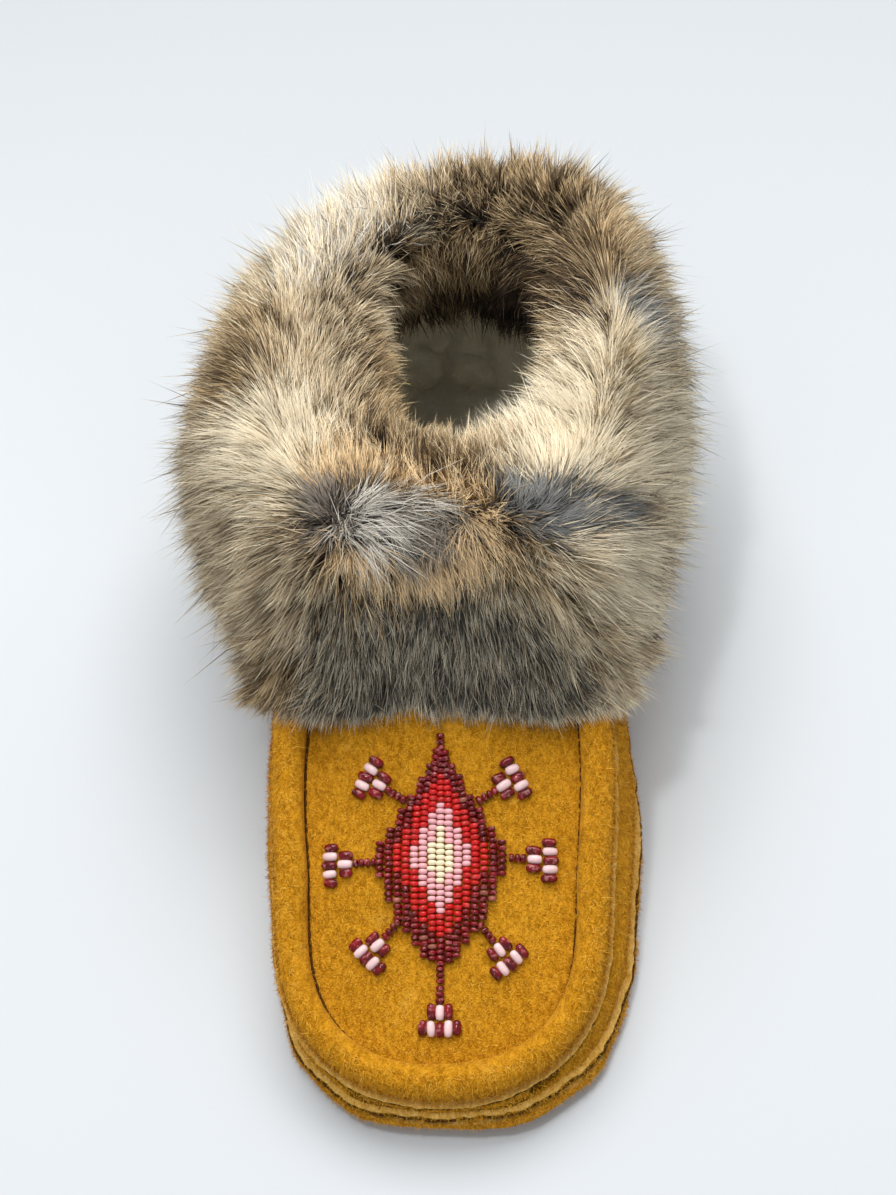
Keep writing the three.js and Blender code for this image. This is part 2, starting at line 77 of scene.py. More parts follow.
def alone(*pieces):
    bpy.ops.object.select_all(action="DESELECT")
    for piece in pieces:
        piece.select_set(True)
    bpy.context.view_layer.objects.active = pieces[0]


def modify(piece, kind, **settings):
    alone(piece)
    modifier = piece.modifiers.new(kind.title(), kind)
    for name, value in settings.items():
        setattr(modifier, name, value)
    bpy.ops.object.modifier_apply(modifier=modifier.name)


def places(piece):
    spots = np.empty(len(piece.data.vertices) * 3)
    piece.data.vertices.foreach_get("co", spots)
    return spots.reshape(-1, 3)


def set_places(piece, spots):
    piece.data.vertices.foreach_set("co", np.ascontiguousarray(spots).ravel())
    piece.data.update()


def facing(piece):
    normals = np.empty(len(piece.data.vertices) * 3)
    piece.data.vertex_normals.foreach_get("vector", normals)
    return normals.reshape(-1, 3)


def ripple(spots, size, seed):
    """A smooth scatter between about -1 and 1 over points, of a given size in metres."""
    shift = Vector((seed * 3.17, seed * 1.31, seed * 2.23))
    return np.array([noise.noise(Vector(spot) / size + shift) for spot in spots])


def step(low, high, value):
    share = np.clip((value - low) / (high - low), 0, 1)
    return share * share * (3 - 2 * share)


def unit(vectors):
    return vectors / np.maximum(np.linalg.norm(vectors, axis=-1, keepdims=True), 1e-12)


def along_shoe(spots):
    """Distance from the toe tip, in mm."""
    return (spots[..., 1] - TOE_Y) / MM


def lift_of_toe(spots):
    return TOE_LIFT * MM * np.clip(1 - along_shoe(spots) / TOE_LIFT_LONG, 0, 1.2) ** 2


def roll_level(spots):
    """Height over the roll's middle, in mm."""
    along = along_shoe(spots)
    return spots[:, 2] / MM - ROLL_UP - ROLL_SLOPE * along - ROLL_CURVE * along**2


def foot_level(spots):
    """Height over the foot of the shoe, in mm."""
    return (spots[:, 2] - lift_of_toe(spots)) / MM


def finish_piece(piece, material, nodes=()):
    if material is not None:
        piece.data.materials.clear()
        piece.data.materials.append(material)
    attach(piece, "root")
    if nodes:
        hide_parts(*nodes)
    return piece


def from_node(node, name, levels, kind="CATMULL_CLARK"):
    """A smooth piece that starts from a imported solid."""
    piece = bpy.data.objects.new(name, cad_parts[node].data.copy())
    bpy.context.scene.collection.objects.link(piece)
    alone(piece)
    bpy.ops.mesh.customdata_custom_splitnormals_clear()
    bpy.ops.object.mode_set(mode="EDIT")
    bpy.ops.mesh.select_all(action="SELECT")
    bpy.ops.mesh.remove_doubles(threshold=1e-5)
    bpy.ops.mesh.mark_sharp(clear=True)
    bpy.ops.mesh.tris_convert_to_quads(face_threshold=math.radians(70), shape_threshold=math.radians(100))
    bpy.ops.object.mode_set(mode="OBJECT")
    modify(piece, "SUBSURF", levels=levels, render_levels=levels, subdivision_type=kind)
    bpy.ops.object.shade_smooth()
    return piece


def tree_of(*pieces):
    """One search tree for several pieces."""
    spots, faces = [], []
    for piece in pieces:
        faces += [[corner + len(spots) for corner in face.vertices] for face in piece.data.polygons]
        spots += [spot.co.copy() for spot in piece.data.vertices]
    return BVHTree.FromPolygons(spots, faces)


def new_piece(name, spots, faces):
    mesh = bpy.data.meshes.new(name)
    mesh.from_pydata([tuple(s) for s in spots], [], [tuple(f) for f in faces])
    piece = bpy.data.objects.new(name, mesh)
    bpy.context.scene.collection.objects.link(piece)
    alone(piece)
    bpy.ops.object.shade_smooth()
    return piece


def grid_faces(rows, columns, rows_close=False, columns_close=False):
    """Quads over a grid of points, row by row."""
    faces = []
    for row in range(rows if rows_close else rows - 1):
        low, high = row * columns, (row + 1) % rows * columns
        for left in range(columns if columns_close else columns - 1):
            right = (left + 1) % columns
            faces.append((low + left, high + left, high + right, low + right))
    return faces


# Materials

class Tone:
    """A socket. Sums and products of values add Math nodes."""

    def __init__(self, finish, socket):
        self.finish = finish
        self.socket = socket

    def _with(self, operation, first, second):
        return self.finish.add("Math", {"operation": operation}, **{"0": first, "1": second})

    def __add__(self, other):
        return self._with("ADD", self, other)

    __radd__ = __add__

    def __sub__(self, other):
        return self._with("SUBTRACT", self, other)

    def __rsub__(self, other):
        return self._with("SUBTRACT", other, self)

    def __mul__(self, other):
        return self._with("MULTIPLY", self, other)

    __rmul__ = __mul__

    def __truediv__(self, other):
        return self._with("DIVIDE", self, other)


class Finish:
    """A material: fixed values go on the shader's own sockets, and what changes over it is linked."""

    def __init__(self, name, **fixed):
        self.material = bpy.data.materials.new(name)
        self.material.use_nodes = True
        self.tree = self.material.node_tree
        self.shader = self.tree.nodes["Principled BSDF"]
        for socket, value in fixed.items():
            self.shader.inputs[socket.replace("_", " ")].default_value = value

    def add(self, kind, settings=None, out=0, **sockets):
        node = self.tree.nodes.new("ShaderNode" + kind)
        for name, value in (settings or {}).items():
            if name == "stops":
                self.set_stops(node.color_ramp, value)
            else:
                setattr(node, name, value)
        for name, value in sockets.items():
            socket = node.inputs[int(name)] if name.isdigit() else node.inputs[name.replace("_", " ")]
            if isinstance(value, Tone):
                self.tree.links.new(value.socket, socket)
            else:
                socket.default_value = value
        return Tone(self, node.outputs[out])

    def set_stops(self, ramp, stops):
        while len(ramp.elements) < len(stops):
            ramp.elements.new(0.5)
        for element, (place, colour) in zip(ramp.elements, stops):
            element.position = place
            element.color = (*colour, 1)

    def feed(self, socket, tone):
        self.tree.links.new(tone.socket, self.shader.inputs[socket])

    def object_place(self, scale=(1, 1, 1), turn=(0, 0, 0)):
        place = self.add("TexCoord", out=3)
        return self.add("Mapping", Vector=place, Scale=scale, Rotation=turn)

    def parts(self, vector):
        """A vector's three numbers."""
        split = self.add("SeparateXYZ", Vector=vector)
        return [Tone(self, socket) for socket in split.socket.node.outputs]

    def grain(self, size, detail=3, rough=0.55, place=None):
        place = place or self.object_place()
        return self.add("TexNoise", Vector=place, Scale=1 / size, Detail=detail, Roughness=rough)

    def limit(self, value, low, high):
        return self.add("MapRange", {"clamp": True}, Value=value, From_Min=low, From_Max=high)

    def distance(self, value, middle):
        return self.add("Math", {"operation": "ABSOLUTE"}, **{"0": value - middle})

    def mix(self, share, first, second):
        sockets = {"0": share}
        for key, value in (("6", first), ("7", second)):
            sockets[key] = value if isinstance(value, Tone) else (*value, 1)
        return self.add("Mix", {"data_type": "RGBA"}, 2, **sockets)

    def bump(self, height, deep, strength=1.0):
        self.feed("Normal", self.add("Bump", Height=height, Distance=deep, Strength=strength))


# Sizes of the marks on each material
NAP_SIZE, FIBRE_SIZE, CLOUD_SIZE, BLOTCH_SIZE, RUB_SIZE = 1.3 * MM, 0.5 * MM, 16 * MM, 5 * MM, 8 * MM
CURL_SIZE, STRAND_SIZE, SKIN_SIZE = 4.2 * MM, 1.1 * MM, 5 * MM
MOTTLE_SIZE, GLINT_SIZE = 2.6 * MM, 1.2 * MM
# Of the last three colours, the raw edge is the suede's own, the seam colour is painted shade and the glass
# colour is a painted glint.
RAW_EDGE, SEAM_PAINTED_SHADE, PAINTED_GLINT_COLOUR = (0.86, 0.58, 0.17), (0.08, 0.032, 0.003), (0.90, 0.36, 0.34)


def suede_finish(name, light, dark, worn, seams):
    """Napped suede. Its seams run at the shoe's own levels, each a pale raw edge or a dark line of painted
    shade.
    """
    finish = Finish(name, Roughness=0.95, Specular_IOR_Level=0.04, Sheen_Weight=0.16, Sheen_Roughness=0.45,
                    Sheen_Tint=(1.0, 0.70, 0.20, 1))
    brushed = finish.object_place(scale=(1, 0.55, 0.8), turn=(0, 0, 0.5))
    nap = finish.grain(NAP_SIZE, 4, 0.62, brushed)
    fibre = finish.grain(FIBRE_SIZE, 2, 0.6)
    cloud = finish.grain(CLOUD_SIZE, 3, 0.5)
    blotch = finish.grain(BLOTCH_SIZE, 3, 0.55)
    share = finish.limit(0.56 * nap + 0.42 * fibre + 0.17 * cloud + 0.10 * blotch, 0.50, 0.76)
    colour = finish.mix(share, dark, light)
    rubbed = finish.limit(finish.grain(RUB_SIZE, 4, 0.6), 0.6, 0.74) * 0.35
    colour = finish.mix(rubbed, colour, worn)
    _, along, up = finish.parts(finish.add("TexCoord", out=3))
    along = (along - TOE_Y) / MM
    up = up / MM
    ragged = 1.6 * (blotch - 0.5) + 1.2 * (nap - 0.5)
    lift = finish.limit(1 - along / TOE_LIFT_LONG, 0, 1)
    levels = {
        "roll": up - ROLL_UP - ROLL_SLOPE * along - ROLL_CURVE * along * along,
        "foot": up - TOE_LIFT * lift * lift,
    }
    relief = 0.6 * nap + 0.4 * fibre
    for level, middle, wide, pale, deep in seams:
        # A pale seam is the raw edge's own colour. A dark seam is painted shade, where the groove or gap
        # between layers falls in shadow.
        line = finish.limit(finish.distance(levels[level] + ragged, middle), wide, 0.35 * wide)
        colour = finish.mix(line * (0.75 if pale else 0.9), colour, RAW_EDGE if pale else SEAM_PAINTED_SHADE)
        relief = relief + line * deep
    finish.feed("Base Color", colour)
    finish.bump(relief, 1.1 * MM)
    return finish.material


def fleece_finish(name, light, dark):
    finish = Finish(name, Roughness=0.95, Specular_IOR_Level=0.1, Sheen_Weight=0.3)
    place = finish.object_place()
    curl = finish.add("TexVoronoi", {"feature": "SMOOTH_F1"}, Vector=place, Scale=1 / CURL_SIZE)
    strand = finish.grain(STRAND_SIZE, 4, 0.7)
    share = finish.limit(curl * 0.8 + strand * 0.5, 0.25, 0.95)
    finish.feed("Base Color", finish.mix(share, light, dark))
    finish.bump(strand - 0.6 * curl, 1.6 * MM, 0.9)
    return finish.material


# Hair: its map's U holds the coat's number and how light the hair is, and V runs from the root to the tip
COAT_STOPS = (0.0, 0.42, 0.66, 0.86, 1.0)
COATS = [
    # name, whether it is downy, then its colours from the root to the tip at these stops
    ("cream", False,
     (0.68, 0.56, 0.38), (0.84, 0.705, 0.49), (0.94, 0.81, 0.58),
     (0.98, 0.89, 0.675), (0.95, 0.85, 0.63)),
    ("beige", False,
     (0.11, 0.083, 0.05), (0.28, 0.207, 0.12), (0.55, 0.41, 0.245),
     (1.0, 0.86, 0.60), (0.74, 0.58, 0.37)),
    ("tan", True,
     (0.60, 0.415, 0.22), (0.75, 0.525, 0.28), (0.90, 0.65, 0.36),
     (0.97, 0.73, 0.43), (0.96, 0.74, 0.455)),
    ("brown", False,
     (0.037, 0.024, 0.012), (0.09, 0.057, 0.027), (0.20, 0.127, 0.058),
     (0.74, 0.54, 0.29), (0.40, 0.265, 0.13)),
    ("dark", False,
     (0.008, 0.005, 0.003), (0.016, 0.010, 0.006), (0.032, 0.020, 0.010),
     (0.16, 0.10, 0.05), (0.06, 0.036, 0.02)),
    ("slate", False,
     (0.04, 0.037, 0.030), (0.075, 0.070, 0.057), (0.10, 0.092, 0.074),
     (0.76, 0.68, 0.51), (0.40, 0.345, 0.25)),
    ("grey", True,
     (0.14, 0.143, 0.140), (0.19, 0.193, 0.188), (0.245, 0.246, 0.238),
     (0.34, 0.337, 0.32), (0.48, 0.468, 0.438)),
    ("white", True,
     (0.48, 0.45, 0.40), (0.62, 0.585, 0.52), (0.78, 0.735, 0.645),
     (0.93, 0.88, 0.775), (0.97, 0.92, 0.81)),
    ("smoke", True,
     (0.20, 0.17, 0.14), (0.25, 0.213, 0.175), (0.30, 0.255, 0.21),
     (0.36, 0.31, 0.25), (0.40, 0.345, 0.28)),
    ("black_tip", False,
     (0.10, 0.08, 0.055), (0.30, 0.235, 0.15), (0.62, 0.49, 0.32),
     (0.12, 0.085, 0.05), (0.02, 0.014, 0.009)),
]
SOFT = np.array([row[1] for row in COATS])
COAT_NAMES = [row[0] for row in COATS]


def fur_finish(name):
    finish = Finish(name, Roughness=0.6, Specular_IOR_Level=0.18, Sheen_Weight=0.04)
    across, length, _ = finish.parts(finish.add("UVMap", {"uv_map": "OFBake"}))
    coat = across * len(COATS)
    number = finish.add("Math", {"operation": "FLOOR"}, **{"0": coat})
    depth = coat - number
    colour = None
    for i, row in enumerate(COATS):
        hair = finish.add("ValToRGB", {"stops": list(zip(COAT_STOPS, row[2:]))}, Fac=length)
        if colour is None:
            colour = hair
        else:
            chosen = finish.add("Math", {"operation": "COMPARE"}, **{"0": number, "1": float(i), "2": 0.25})
            colour = finish.mix(chosen, colour, hair)
    shade = finish.add("HueSaturation", Color=colour, Value=0.6 + 0.8 * depth)
    finish.feed("Base Color", shade)
    return finish.material


def bead_finish(name, colour, mottled=0.12, clear=0.1):
    """Glass with lighter and darker mottles and, here and there, a painted glint: a light spot that stands
    in for a highlight.
    """
    finish = Finish(name, Roughness=0.25, Specular_IOR_Level=0.12, Coat_Weight=0.6, Coat_Roughness=0.03)
    share = finish.limit(finish.grain(MOTTLE_SIZE, 2), 0.35, 0.65)
    lighter = tuple(min(1.0, c * (1 + mottled)) for c in colour)
    darker = tuple(c * (1 - mottled) for c in colour)
    glass = finish.mix(share, darker, lighter)
    # Painted glints: pale spots mixed into the glass stand in for highlights, and clear sets how strong
    # they are.
    bright = finish.limit(finish.grain(GLINT_SIZE, 1), 0.54, 0.70) * clear
    finish.feed("Base Color", finish.mix(bright, glass, PAINTED_GLINT_COLOUR))
    return finish.material


GOLD_LIGHT, GOLD_DARK, GOLD_WORN = (0.80, 0.375, 0.021), (0.36, 0.142, 0.004), (0.80, 0.44, 0.065)
# Seams at a level in mm, over the roll's middle or over the foot: the middle of each, half its width,
# whether it is a pale raw edge, and its relief
# Both seams of the golden suede are dark lines of painted shade: one under the roll's raw edge and one in
# the gap at the wall's foot.
SUEDE = suede_finish("golden_suede", GOLD_LIGHT, GOLD_DARK, GOLD_WORN, [
    ("roll", -7.0, 1.0, False, -0.6), ("foot", 4.6, 1.1, False, -0.3),
])
SUEDE_RAW = suede_finish("raw_suede", (0.95, 0.64, 0.20), (0.62, 0.33, 0.05), RAW_EDGE, [])
SUEDE_SOLE = suede_finish("sole_suede", (0.66, 0.31, 0.03), (0.33, 0.135, 0.01), (0.66, 0.38, 0.09), [
    ("foot", 4.1, 0.9, True, 0.3),
])
NAP_TONES = [
    ("dark_nap", (0.46, 0.18, 0.006)), ("gold_nap", (0.76, 0.35, 0.02)), ("pale_nap", (0.86, 0.47, 0.06)),
]
NAP = [
    Finish(name, Base_Color=(*colour, 1), Roughness=0.95, Specular_IOR_Level=0.04).material
    for name, colour in NAP_TONES
]
FLEECE = fleece_finish("cream_fleece", (0.98, 0.93, 0.78), (0.88, 0.81, 0.63))
FUR = fur_finish("rabbit_fur")
BEAD = {
    "cream": bead_finish("cream_bead", (0.98, 0.87, 0.62), 0.0, 0.0),
    "pink": bead_finish("pink_bead", (0.90, 0.47, 0.50), 0.06),
    "red": bead_finish("red_bead", (0.58, 0.009, 0.009), 0.12, 0.15),
    "wine": bead_finish("wine_bead", (0.17, 0.002, 0.006), 0.5, 0.3),
    "amber": bead_finish("amber_bead", (0.34, 0.10, 0.07), 0.3),
    "blush": bead_finish("blush_bead", (0.90, 0.62, 0.62), 0.08),
}
BEAD_ORDER = list(BEAD)


# Suede pieces

# Soft creases in the wall: side, place along the shoe and height, run, and how deep and wide, in mm
CREASES = [
    # side, along, height, run_along, run_up, deep, wide
    (1, 92, 22, 16, -3, 0.9, 3.4),
    (1, 70, 15, 14, 3, 0.7, 3.0),
    (1, 104, 32, 10, -6, 0.8, 3.2),
    (-1, 88, 20, 18, -2, 0.8, 3.4),
    (-1, 104, 30, 12, -5, 0.8, 3.2),
    (-1, 60, 14, 12, 2, 0.6, 2.8),
    (1, 40, 11, 10, 1, 0.5, 2.4),
    (-1, 34, 11, 10, 1, 0.5, 2.4),
    (1, 190, 22, 22, 4, 1.0, 4.0),
    (-1, 186, 20, 22, 5, 1.0, 4.0),
    (1, 150, 26, 20, -5, 1.0, 4.2),
    (-1, 152, 24, 20, -4, 1.0, 4.2),
]
# How far the sole and the wall's foot stand out at the toe and over what length, in mm, and the
# hand-cut corners there: their width and turns in degrees, and how far each stands out
TOE_LIP, TOE_LIP_LONG = 2.4, 36
CORNER_WIDE = 9
TOE_CORNERS = [(-50, 1.1), (-26, 1.3), (22, 1.0), (46, 0.6)]
# Between these heights, in mm, the ragged foot of the wall passes into its soft face
FOOT_TOP = (6.5, 9.5)
# How far the vamp's rim reaches under the roll, in mm
VAMP_TUCK = 2.2


def toe_lip(spots):
    """How far a point at the foot stands out, in mm."""
    lip = TOE_LIP * (1 - step(0, TOE_LIP_LONG, along_shoe(spots)))
    turn = np.degrees(np.arctan2(spots[:, 0] - AXIS_X, TOE_Y + TOE_ROUND_AT * MM - spots[:, 1]))
    return lip + sum(out * np.exp(-((turn - corner) / CORNER_WIDE) ** 2) for corner, out in TOE_CORNERS)


def press_creases(spots, normals):
    """Points of the wall with its creases pressed in, each with a low ridge beside it."""
    side = np.sign(spots[:, 0] - AXIS_X)
    along = along_shoe(spots)
    height = spots[:, 2] / MM
    moved = np.zeros(len(spots))
    for where, at, up, run_along, run_up, deep, wide in CREASES:
        reach = math.hypot(run_along, run_up)
        ahead = ((along - at) * run_along + (height - up) * run_up) / reach
        aside = (-(along - at) * run_up + (height - up) * run_along) / reach
        here = np.exp(-(ahead / (0.6 * reach)) ** 2) * (side == where)
        valley = np.exp(-(aside / wide) ** 2)
        ridge = np.exp(-((aside - 1.6 * wide) / wide) ** 2)
        moved += (0.5 * ridge - valley) * here * deep * MM
    return spots + normals * moved[:, None]


def make_wall():
    wall = from_node("upper", "suede_wall", 2)
    spots, normals = places(wall), facing(wall)
    spots = press_creases(spots, normals)
    soft = 0.35 * ripple(spots, 22 * MM, 1) + 0.16 * ripple(spots, 7 * MM, 2)
    foot = 1 - step(*FOOT_TOP, foot_level(spots))
    ragged = foot * (0.55 * ripple(spots, 2.6 * MM, 3) + 0.5 * ripple(spots, 7 * MM, 4))
    spots = spots + normals * ((soft * (1 - foot) + ragged * 0.8) * MM)[:, None]
    spots[:, 2] += np.maximum(ragged, -0.1) * 0.25 * MM
    spots = spots + normals * LEVEL * 0.85 * (toe_lip(spots) * foot * MM)[:, None]
    set_places(wall, spots)
    return finish_piece(wall, SUEDE, ["upper"])


def make_vamp():
    vamp = from_node("vamp", "beaded_vamp", 2)
    spots, normals = places(vamp), facing(vamp)
    spots = spots + normals * (0.28 * ripple(spots, 18 * MM, 5) * MM)[:, None]
    rim = step(0.3, 0.8, np.hypot(normals[:, 0], normals[:, 1]))
    spots = spots + normals * LEVEL * VAMP_TUCK * MM * rim[:, None]
    set_places(vamp, spots)
    return finish_piece(vamp, SUEDE, ["vamp"])


def make_sole():
    sole = from_node("sole", "suede_sole", 2, "SIMPLE")
    spots, normals = places(sole), facing(sole)
    flat = step(0.3, 1.2, foot_level(spots))
    ragged = 0.5 * ripple(spots, 3 * MM, 6) + 0.7 * ripple(spots, 11 * MM, 7)
    side = normals * LEVEL
    set_places(sole, spots + side * ((ragged * flat * 0.7 + toe_lip(spots)) * MM)[:, None])
    bpy.ops.object.shade_smooth_by_angle(angle=math.radians(50))
    return finish_piece(sole, SUEDE_SOLE, ["sole"])


def make_footbed():
    footbed = from_node("insole", "fleece_footbed", 3)
    spots, normals = places(footbed), facing(footbed)
    curls = 1.5 * ripple(spots, 6 * MM, 8) + 0.8 * ripple(spots, 2.6 * MM, 9)
    top = step(0.2, 0.7, normals[:, 2])
    set_places(footbed, spots + UP * (top * curls * 0.7 * MM)[:, None])
    return finish_piece(footbed, FLEECE, ["insole"])


# Folds of the lining at the heel: across and height of both ends, and half the width, in mm
LINING_FOLDS = [(-1, 38, -8, 8, 1.7), (6, 36, 9, 13, 1.5), (-3, 25, 8, 20, 1.2), (-14, 30, -7, 22, 1.2)]
# How far the lining stands in between its folds, and where: the height, and half the width and height
LINING_PUFF = 4.0
PUFF_UP, PUFF_WIDE, PUFF_HIGH = 22, 22, 20
# The lining: its lowest row and its height, the middle of its opening from the toe tip, and its
# thickness, in mm
LINING_LOW, LINING_HIGH, LINING_AT, LINING_THICK = 7.0, 51.0, 176, 0.8
LINING_ROWS, LINING_COLUMNS = 30, 120
# How far its rays look for the wall, in metres, and its reach where they meet none, in mm
LINING_RAY, LINING_OPEN = 0.25, 40


def puff_lining(spots):
    """How far the lining stands in at the heel between its folds, in mm."""
    across, up = (spots[:, 0] - AXIS_X) / MM, spots[:, 2] / MM
    puff = np.exp(-(across / PUFF_WIDE) ** 2 - ((up - PUFF_UP) / PUFF_HIGH) ** 2)
    puff *= step(20, 40, (spots[:, 1] - CUFF_Y) / MM)
    for x_high, high, x_low, low, wide in LINING_FOLDS:
        run, drop = x_low - x_high, low - high
        share = np.clip(((across - x_high) * run + (up - high) * drop) / (run**2 + drop**2), 0, 1)
        far = np.hypot(across - x_high - share * run, up - high - share * drop)
        puff *= 1 - 0.95 * np.exp(-(far / wide) ** 2)
    return LINING_PUFF * puff


def make_lining(wall, vamp):
    """The fleece inside the wall and under the vamp, up to the fur: a loose sleeve about the foot."""
    rows, columns = LINING_ROWS, LINING_COLUMNS
    tree = tree_of(wall, vamp)
    spots = []
    for row in range(rows):
        up = (LINING_LOW + LINING_HIGH * row / (rows - 1)) * MM
        start = Vector((AXIS_X, TOE_Y + LINING_AT * MM, up))
        for column in range(columns):
            turn = 2 * math.pi * column / columns
            way = Vector((math.sin(turn), -math.cos(turn), 0))
            hit = tree.ray_cast(start, way, LINING_RAY)[0]
            reach = (hit - start).length if hit is not None else LINING_OPEN * MM
            slope = max(0.0, math.cos(turn)) ** 2 * float(step(12, 20, up / MM))
            front = float(step(0.1, 0.5, math.cos(turn))) * float(step(16, 24, up / MM))
            high = (1 - slope) * float(step(36, 44, up / MM))
            inset = 2.4 + 3.5 * front + 4.0 * slope + 1.5 * high
            spots.append(start + way * (reach - inset * MM))
    lining = new_piece("fleece_lining", spots, grid_faces(rows, columns, columns_close=True))
    modify(lining, "SUBSURF", levels=1, render_levels=1)
    spots, normals = places(lining), facing(lining)
    curls = 1.4 * ripple(spots, 7 * MM, 10) + 0.9 * ripple(spots, 3 * MM, 11)
    spots = spots + normals * (curls * 0.8 * MM)[:, None]
    spots[:, 1] -= puff_lining(spots) * MM
    set_places(lining, spots)
    modify(lining, "SOLIDIFY", thickness=LINING_THICK * MM, offset=-1)
    return finish_piece(lining, FLEECE)


# Loose fibres: their width and how far from the toe tip they grow, in mm, and the way that they lean
NAP_WIDE, NAP_END = 0.17, 150
NAP_LEAN = np.array([0.2, -0.5, -0.2])
# A line inside the shoe that shows which faces point outward: its height and its end at the toe, in mm
INSIDE_UP, INSIDE_END = 18, 45


def make_nap(name, piece, count, long, weight, tones=(0.3, 0.4, 0.3)):
    """Short fibres on a suede piece's outside, each a narrow triangle, more where the weight is high."""
    piece.data.calc_loop_triangles()
    corners = np.empty(len(piece.data.loop_triangles) * 3, np.int32)
    piece.data.loop_triangles.foreach_get("vertices", corners)
    a, b, c = (places(piece)[corners.reshape(-1, 3)[:, i]] for i in range(3))
    cross = np.cross(b - a, c - a)
    normal, middle = unit(cross), (a + b + c) / 3
    away = middle - np.array([AXIS_X, 0, INSIDE_UP * MM])
    away[:, 1] = np.minimum(middle[:, 1] - TOE_Y - INSIDE_END * MM, 0)
    outside = ((normal * away).sum(1) > 0) & (middle[:, 1] < TOE_Y + NAP_END * MM)
    total = np.cumsum(np.linalg.norm(cross, axis=1) * outside * weight(middle))
    pick = np.searchsorted(total, chance.random(count) * total[-1])
    u, v = chance.random((2, count, 1))
    u, v = np.where(u + v > 1, 1 - u, u), np.where(u + v > 1, 1 - v, v)
    root = a[pick] + u * (b - a)[pick] + v * (c - a)[pick]
    out = normal[pick]
    lean = chance.normal(0, 1, (count, 3)) * 0.8 + NAP_LEAN
    flat = unit(lean - out * (lean * out).sum(1, keepdims=True))
    way = unit(flat + out * chance.uniform(0.15, 0.9, (count, 1)))
    side = unit(np.cross(way, out)) * NAP_WIDE / 2 * MM
    tip = root + way * long * MM * chance.uniform(0.5, 1.3, (count, 1))
    spots = np.stack([root - side, root + side, tip], 1).reshape(-1, 3)
    piece = new_piece(name, spots, np.arange(3 * count).reshape(-1, 3))
    for material in NAP:
        piece.data.materials.append(material)
    tone = chance.choice(len(NAP), count, p=tones).astype(np.int32)
    piece.data.polygons.foreach_set("material_index", tone)
    normals = unit(out + chance.normal(0, 0.35, (count, 3)))
    piece.data.normals_split_custom_set_from_vertices(np.repeat(normals, 3, axis=0))
    return finish_piece(piece, None)


def by_roll(spots):
    """Weight of the nap: most just under the middle of the roll."""
    return 1 + 2 * np.exp(-((roll_level(spots) + 2) / 2.5) ** 2)


def over_floor(spots):
    return (foot_level(spots) > 2).astype(float)


def evenly(spots):
    return np.ones(len(spots))


def make_naps(wall, vamp, sole, edges):
    make_nap("wall_nap", wall, 56000, 1.8, by_roll)
    make_nap("vamp_nap", vamp, 22000, 1.1, evenly)
    make_nap("sole_nap", sole, 9000, 1.6, over_floor)
    make_nap("wall_fuzz", wall, 6000, 3.0, by_roll, (0.1, 0.4, 0.5))
    for edge in edges:
        make_nap(f"{edge.name}_nap", edge, 3000, 1.1, evenly, (0, 0.2, 0.8))


# A bead's sides, and its bevel as a share of its length
BEAD_SIDES, BEAD_BEVEL = 10, 0.34


def bead_shape():
    """One seed bead: a short tube with a rounded wall, along Y."""
    bpy.ops.object.select_all(action="DESELECT")
    bpy.ops.mesh.primitive_cylinder_add(vertices=BEAD_SIDES, radius=0.5, depth=1, end_fill_type="NGON",
                                        rotation=(math.pi / 2, 0, 0))
    bead = bpy.context.object
    bpy.ops.object.transform_apply(location=False, rotation=True, scale=False)
    bpy.ops.object.mode_set(mode="EDIT")
    bpy.ops.mesh.select_mode(type="FACE")
    bpy.ops.mesh.select_all(action="DESELECT")
    bpy.ops.mesh.select_face_by_sides(number=BEAD_SIDES, type="EQUAL")
    bpy.ops.mesh.region_to_loop()
    bpy.ops.mesh.bevel(offset=BEAD_BEVEL, segments=2, profile=0.55)
    bpy.ops.object.mode_set(mode="OBJECT")
    spots = places(bead)
    faces = [tuple(face.vertices) for face in bead.data.polygons]
    bpy.data.objects.remove(bead)
    return spots, faces


BEAD_SHAPE = bead_shape()


def bead_copies(name, placed):
    """One piece of many copies of the bead, each with its own turn and middle."""
    shape, faces = BEAD_SHAPE
    spots, all_faces = [], []
    for turn, middle in placed:
        start = len(spots) * len(shape)
        spots.append(shape @ turn + middle)
        all_faces += [tuple(start + corner for corner in face) for face in faces]
    return new_piece(name, np.concatenate(spots), all_faces)


# Raw edges of the suede where the roll and the wall are sewn down
EDGES = [
    # name, level and its middle, reach outward, thickness, the thread's reach outward and downward, in mm
    ("roll_edge", roll_level, -4.4, 2.3, 0.8, 1.9, 1.0),
    ("wall_edge", foot_level, 5.9, 1.3, 0.8, 1.4, 1.4),
]
# An edge's section: a share of its reach, or mm inside the wall where negative, and of its thickness
EDGE_SECTION = [(-1.6, 0.5), (0.3, 0.55), (1.0, 0.2), (1.0, -0.5), (-1.6, -0.3)]
# Steps along an edge in mm and in degrees, and where the roll's edge ends under the fur, in mm
EDGE_STEP, EDGE_TURN, ROLL_END = 1.2, 1.4, 118
# The dark thread is partly stitching and partly painted shade: under each raw edge it gives the dark line
# of the shadow there.
THREAD_AND_SHADE_BROWN = (0.085, 0.034, 0.005, 1)
THREAD_AND_SHADE = Finish("dark_thread_and_shade", Base_Color=THREAD_AND_SHADE_BROWN, Roughness=0.8, Specular_IOR_Level=0.1).material
STITCH_PITCH, STITCH_LONG, STITCH_THICK = 2.3 * MM, 2.5 * MM, 0.75 * MM
# Rays start this far from the shoe's axis, or above the floor, in metres, and run inward or down
FAR_OUT, ABOVE = 0.1, 0.2
DOWN = Vector((0, 0, -1))
# The height in mm where the search for a level starts, and how often it is corrected
LEVEL_START, LEVEL_TRIES = 20, 5
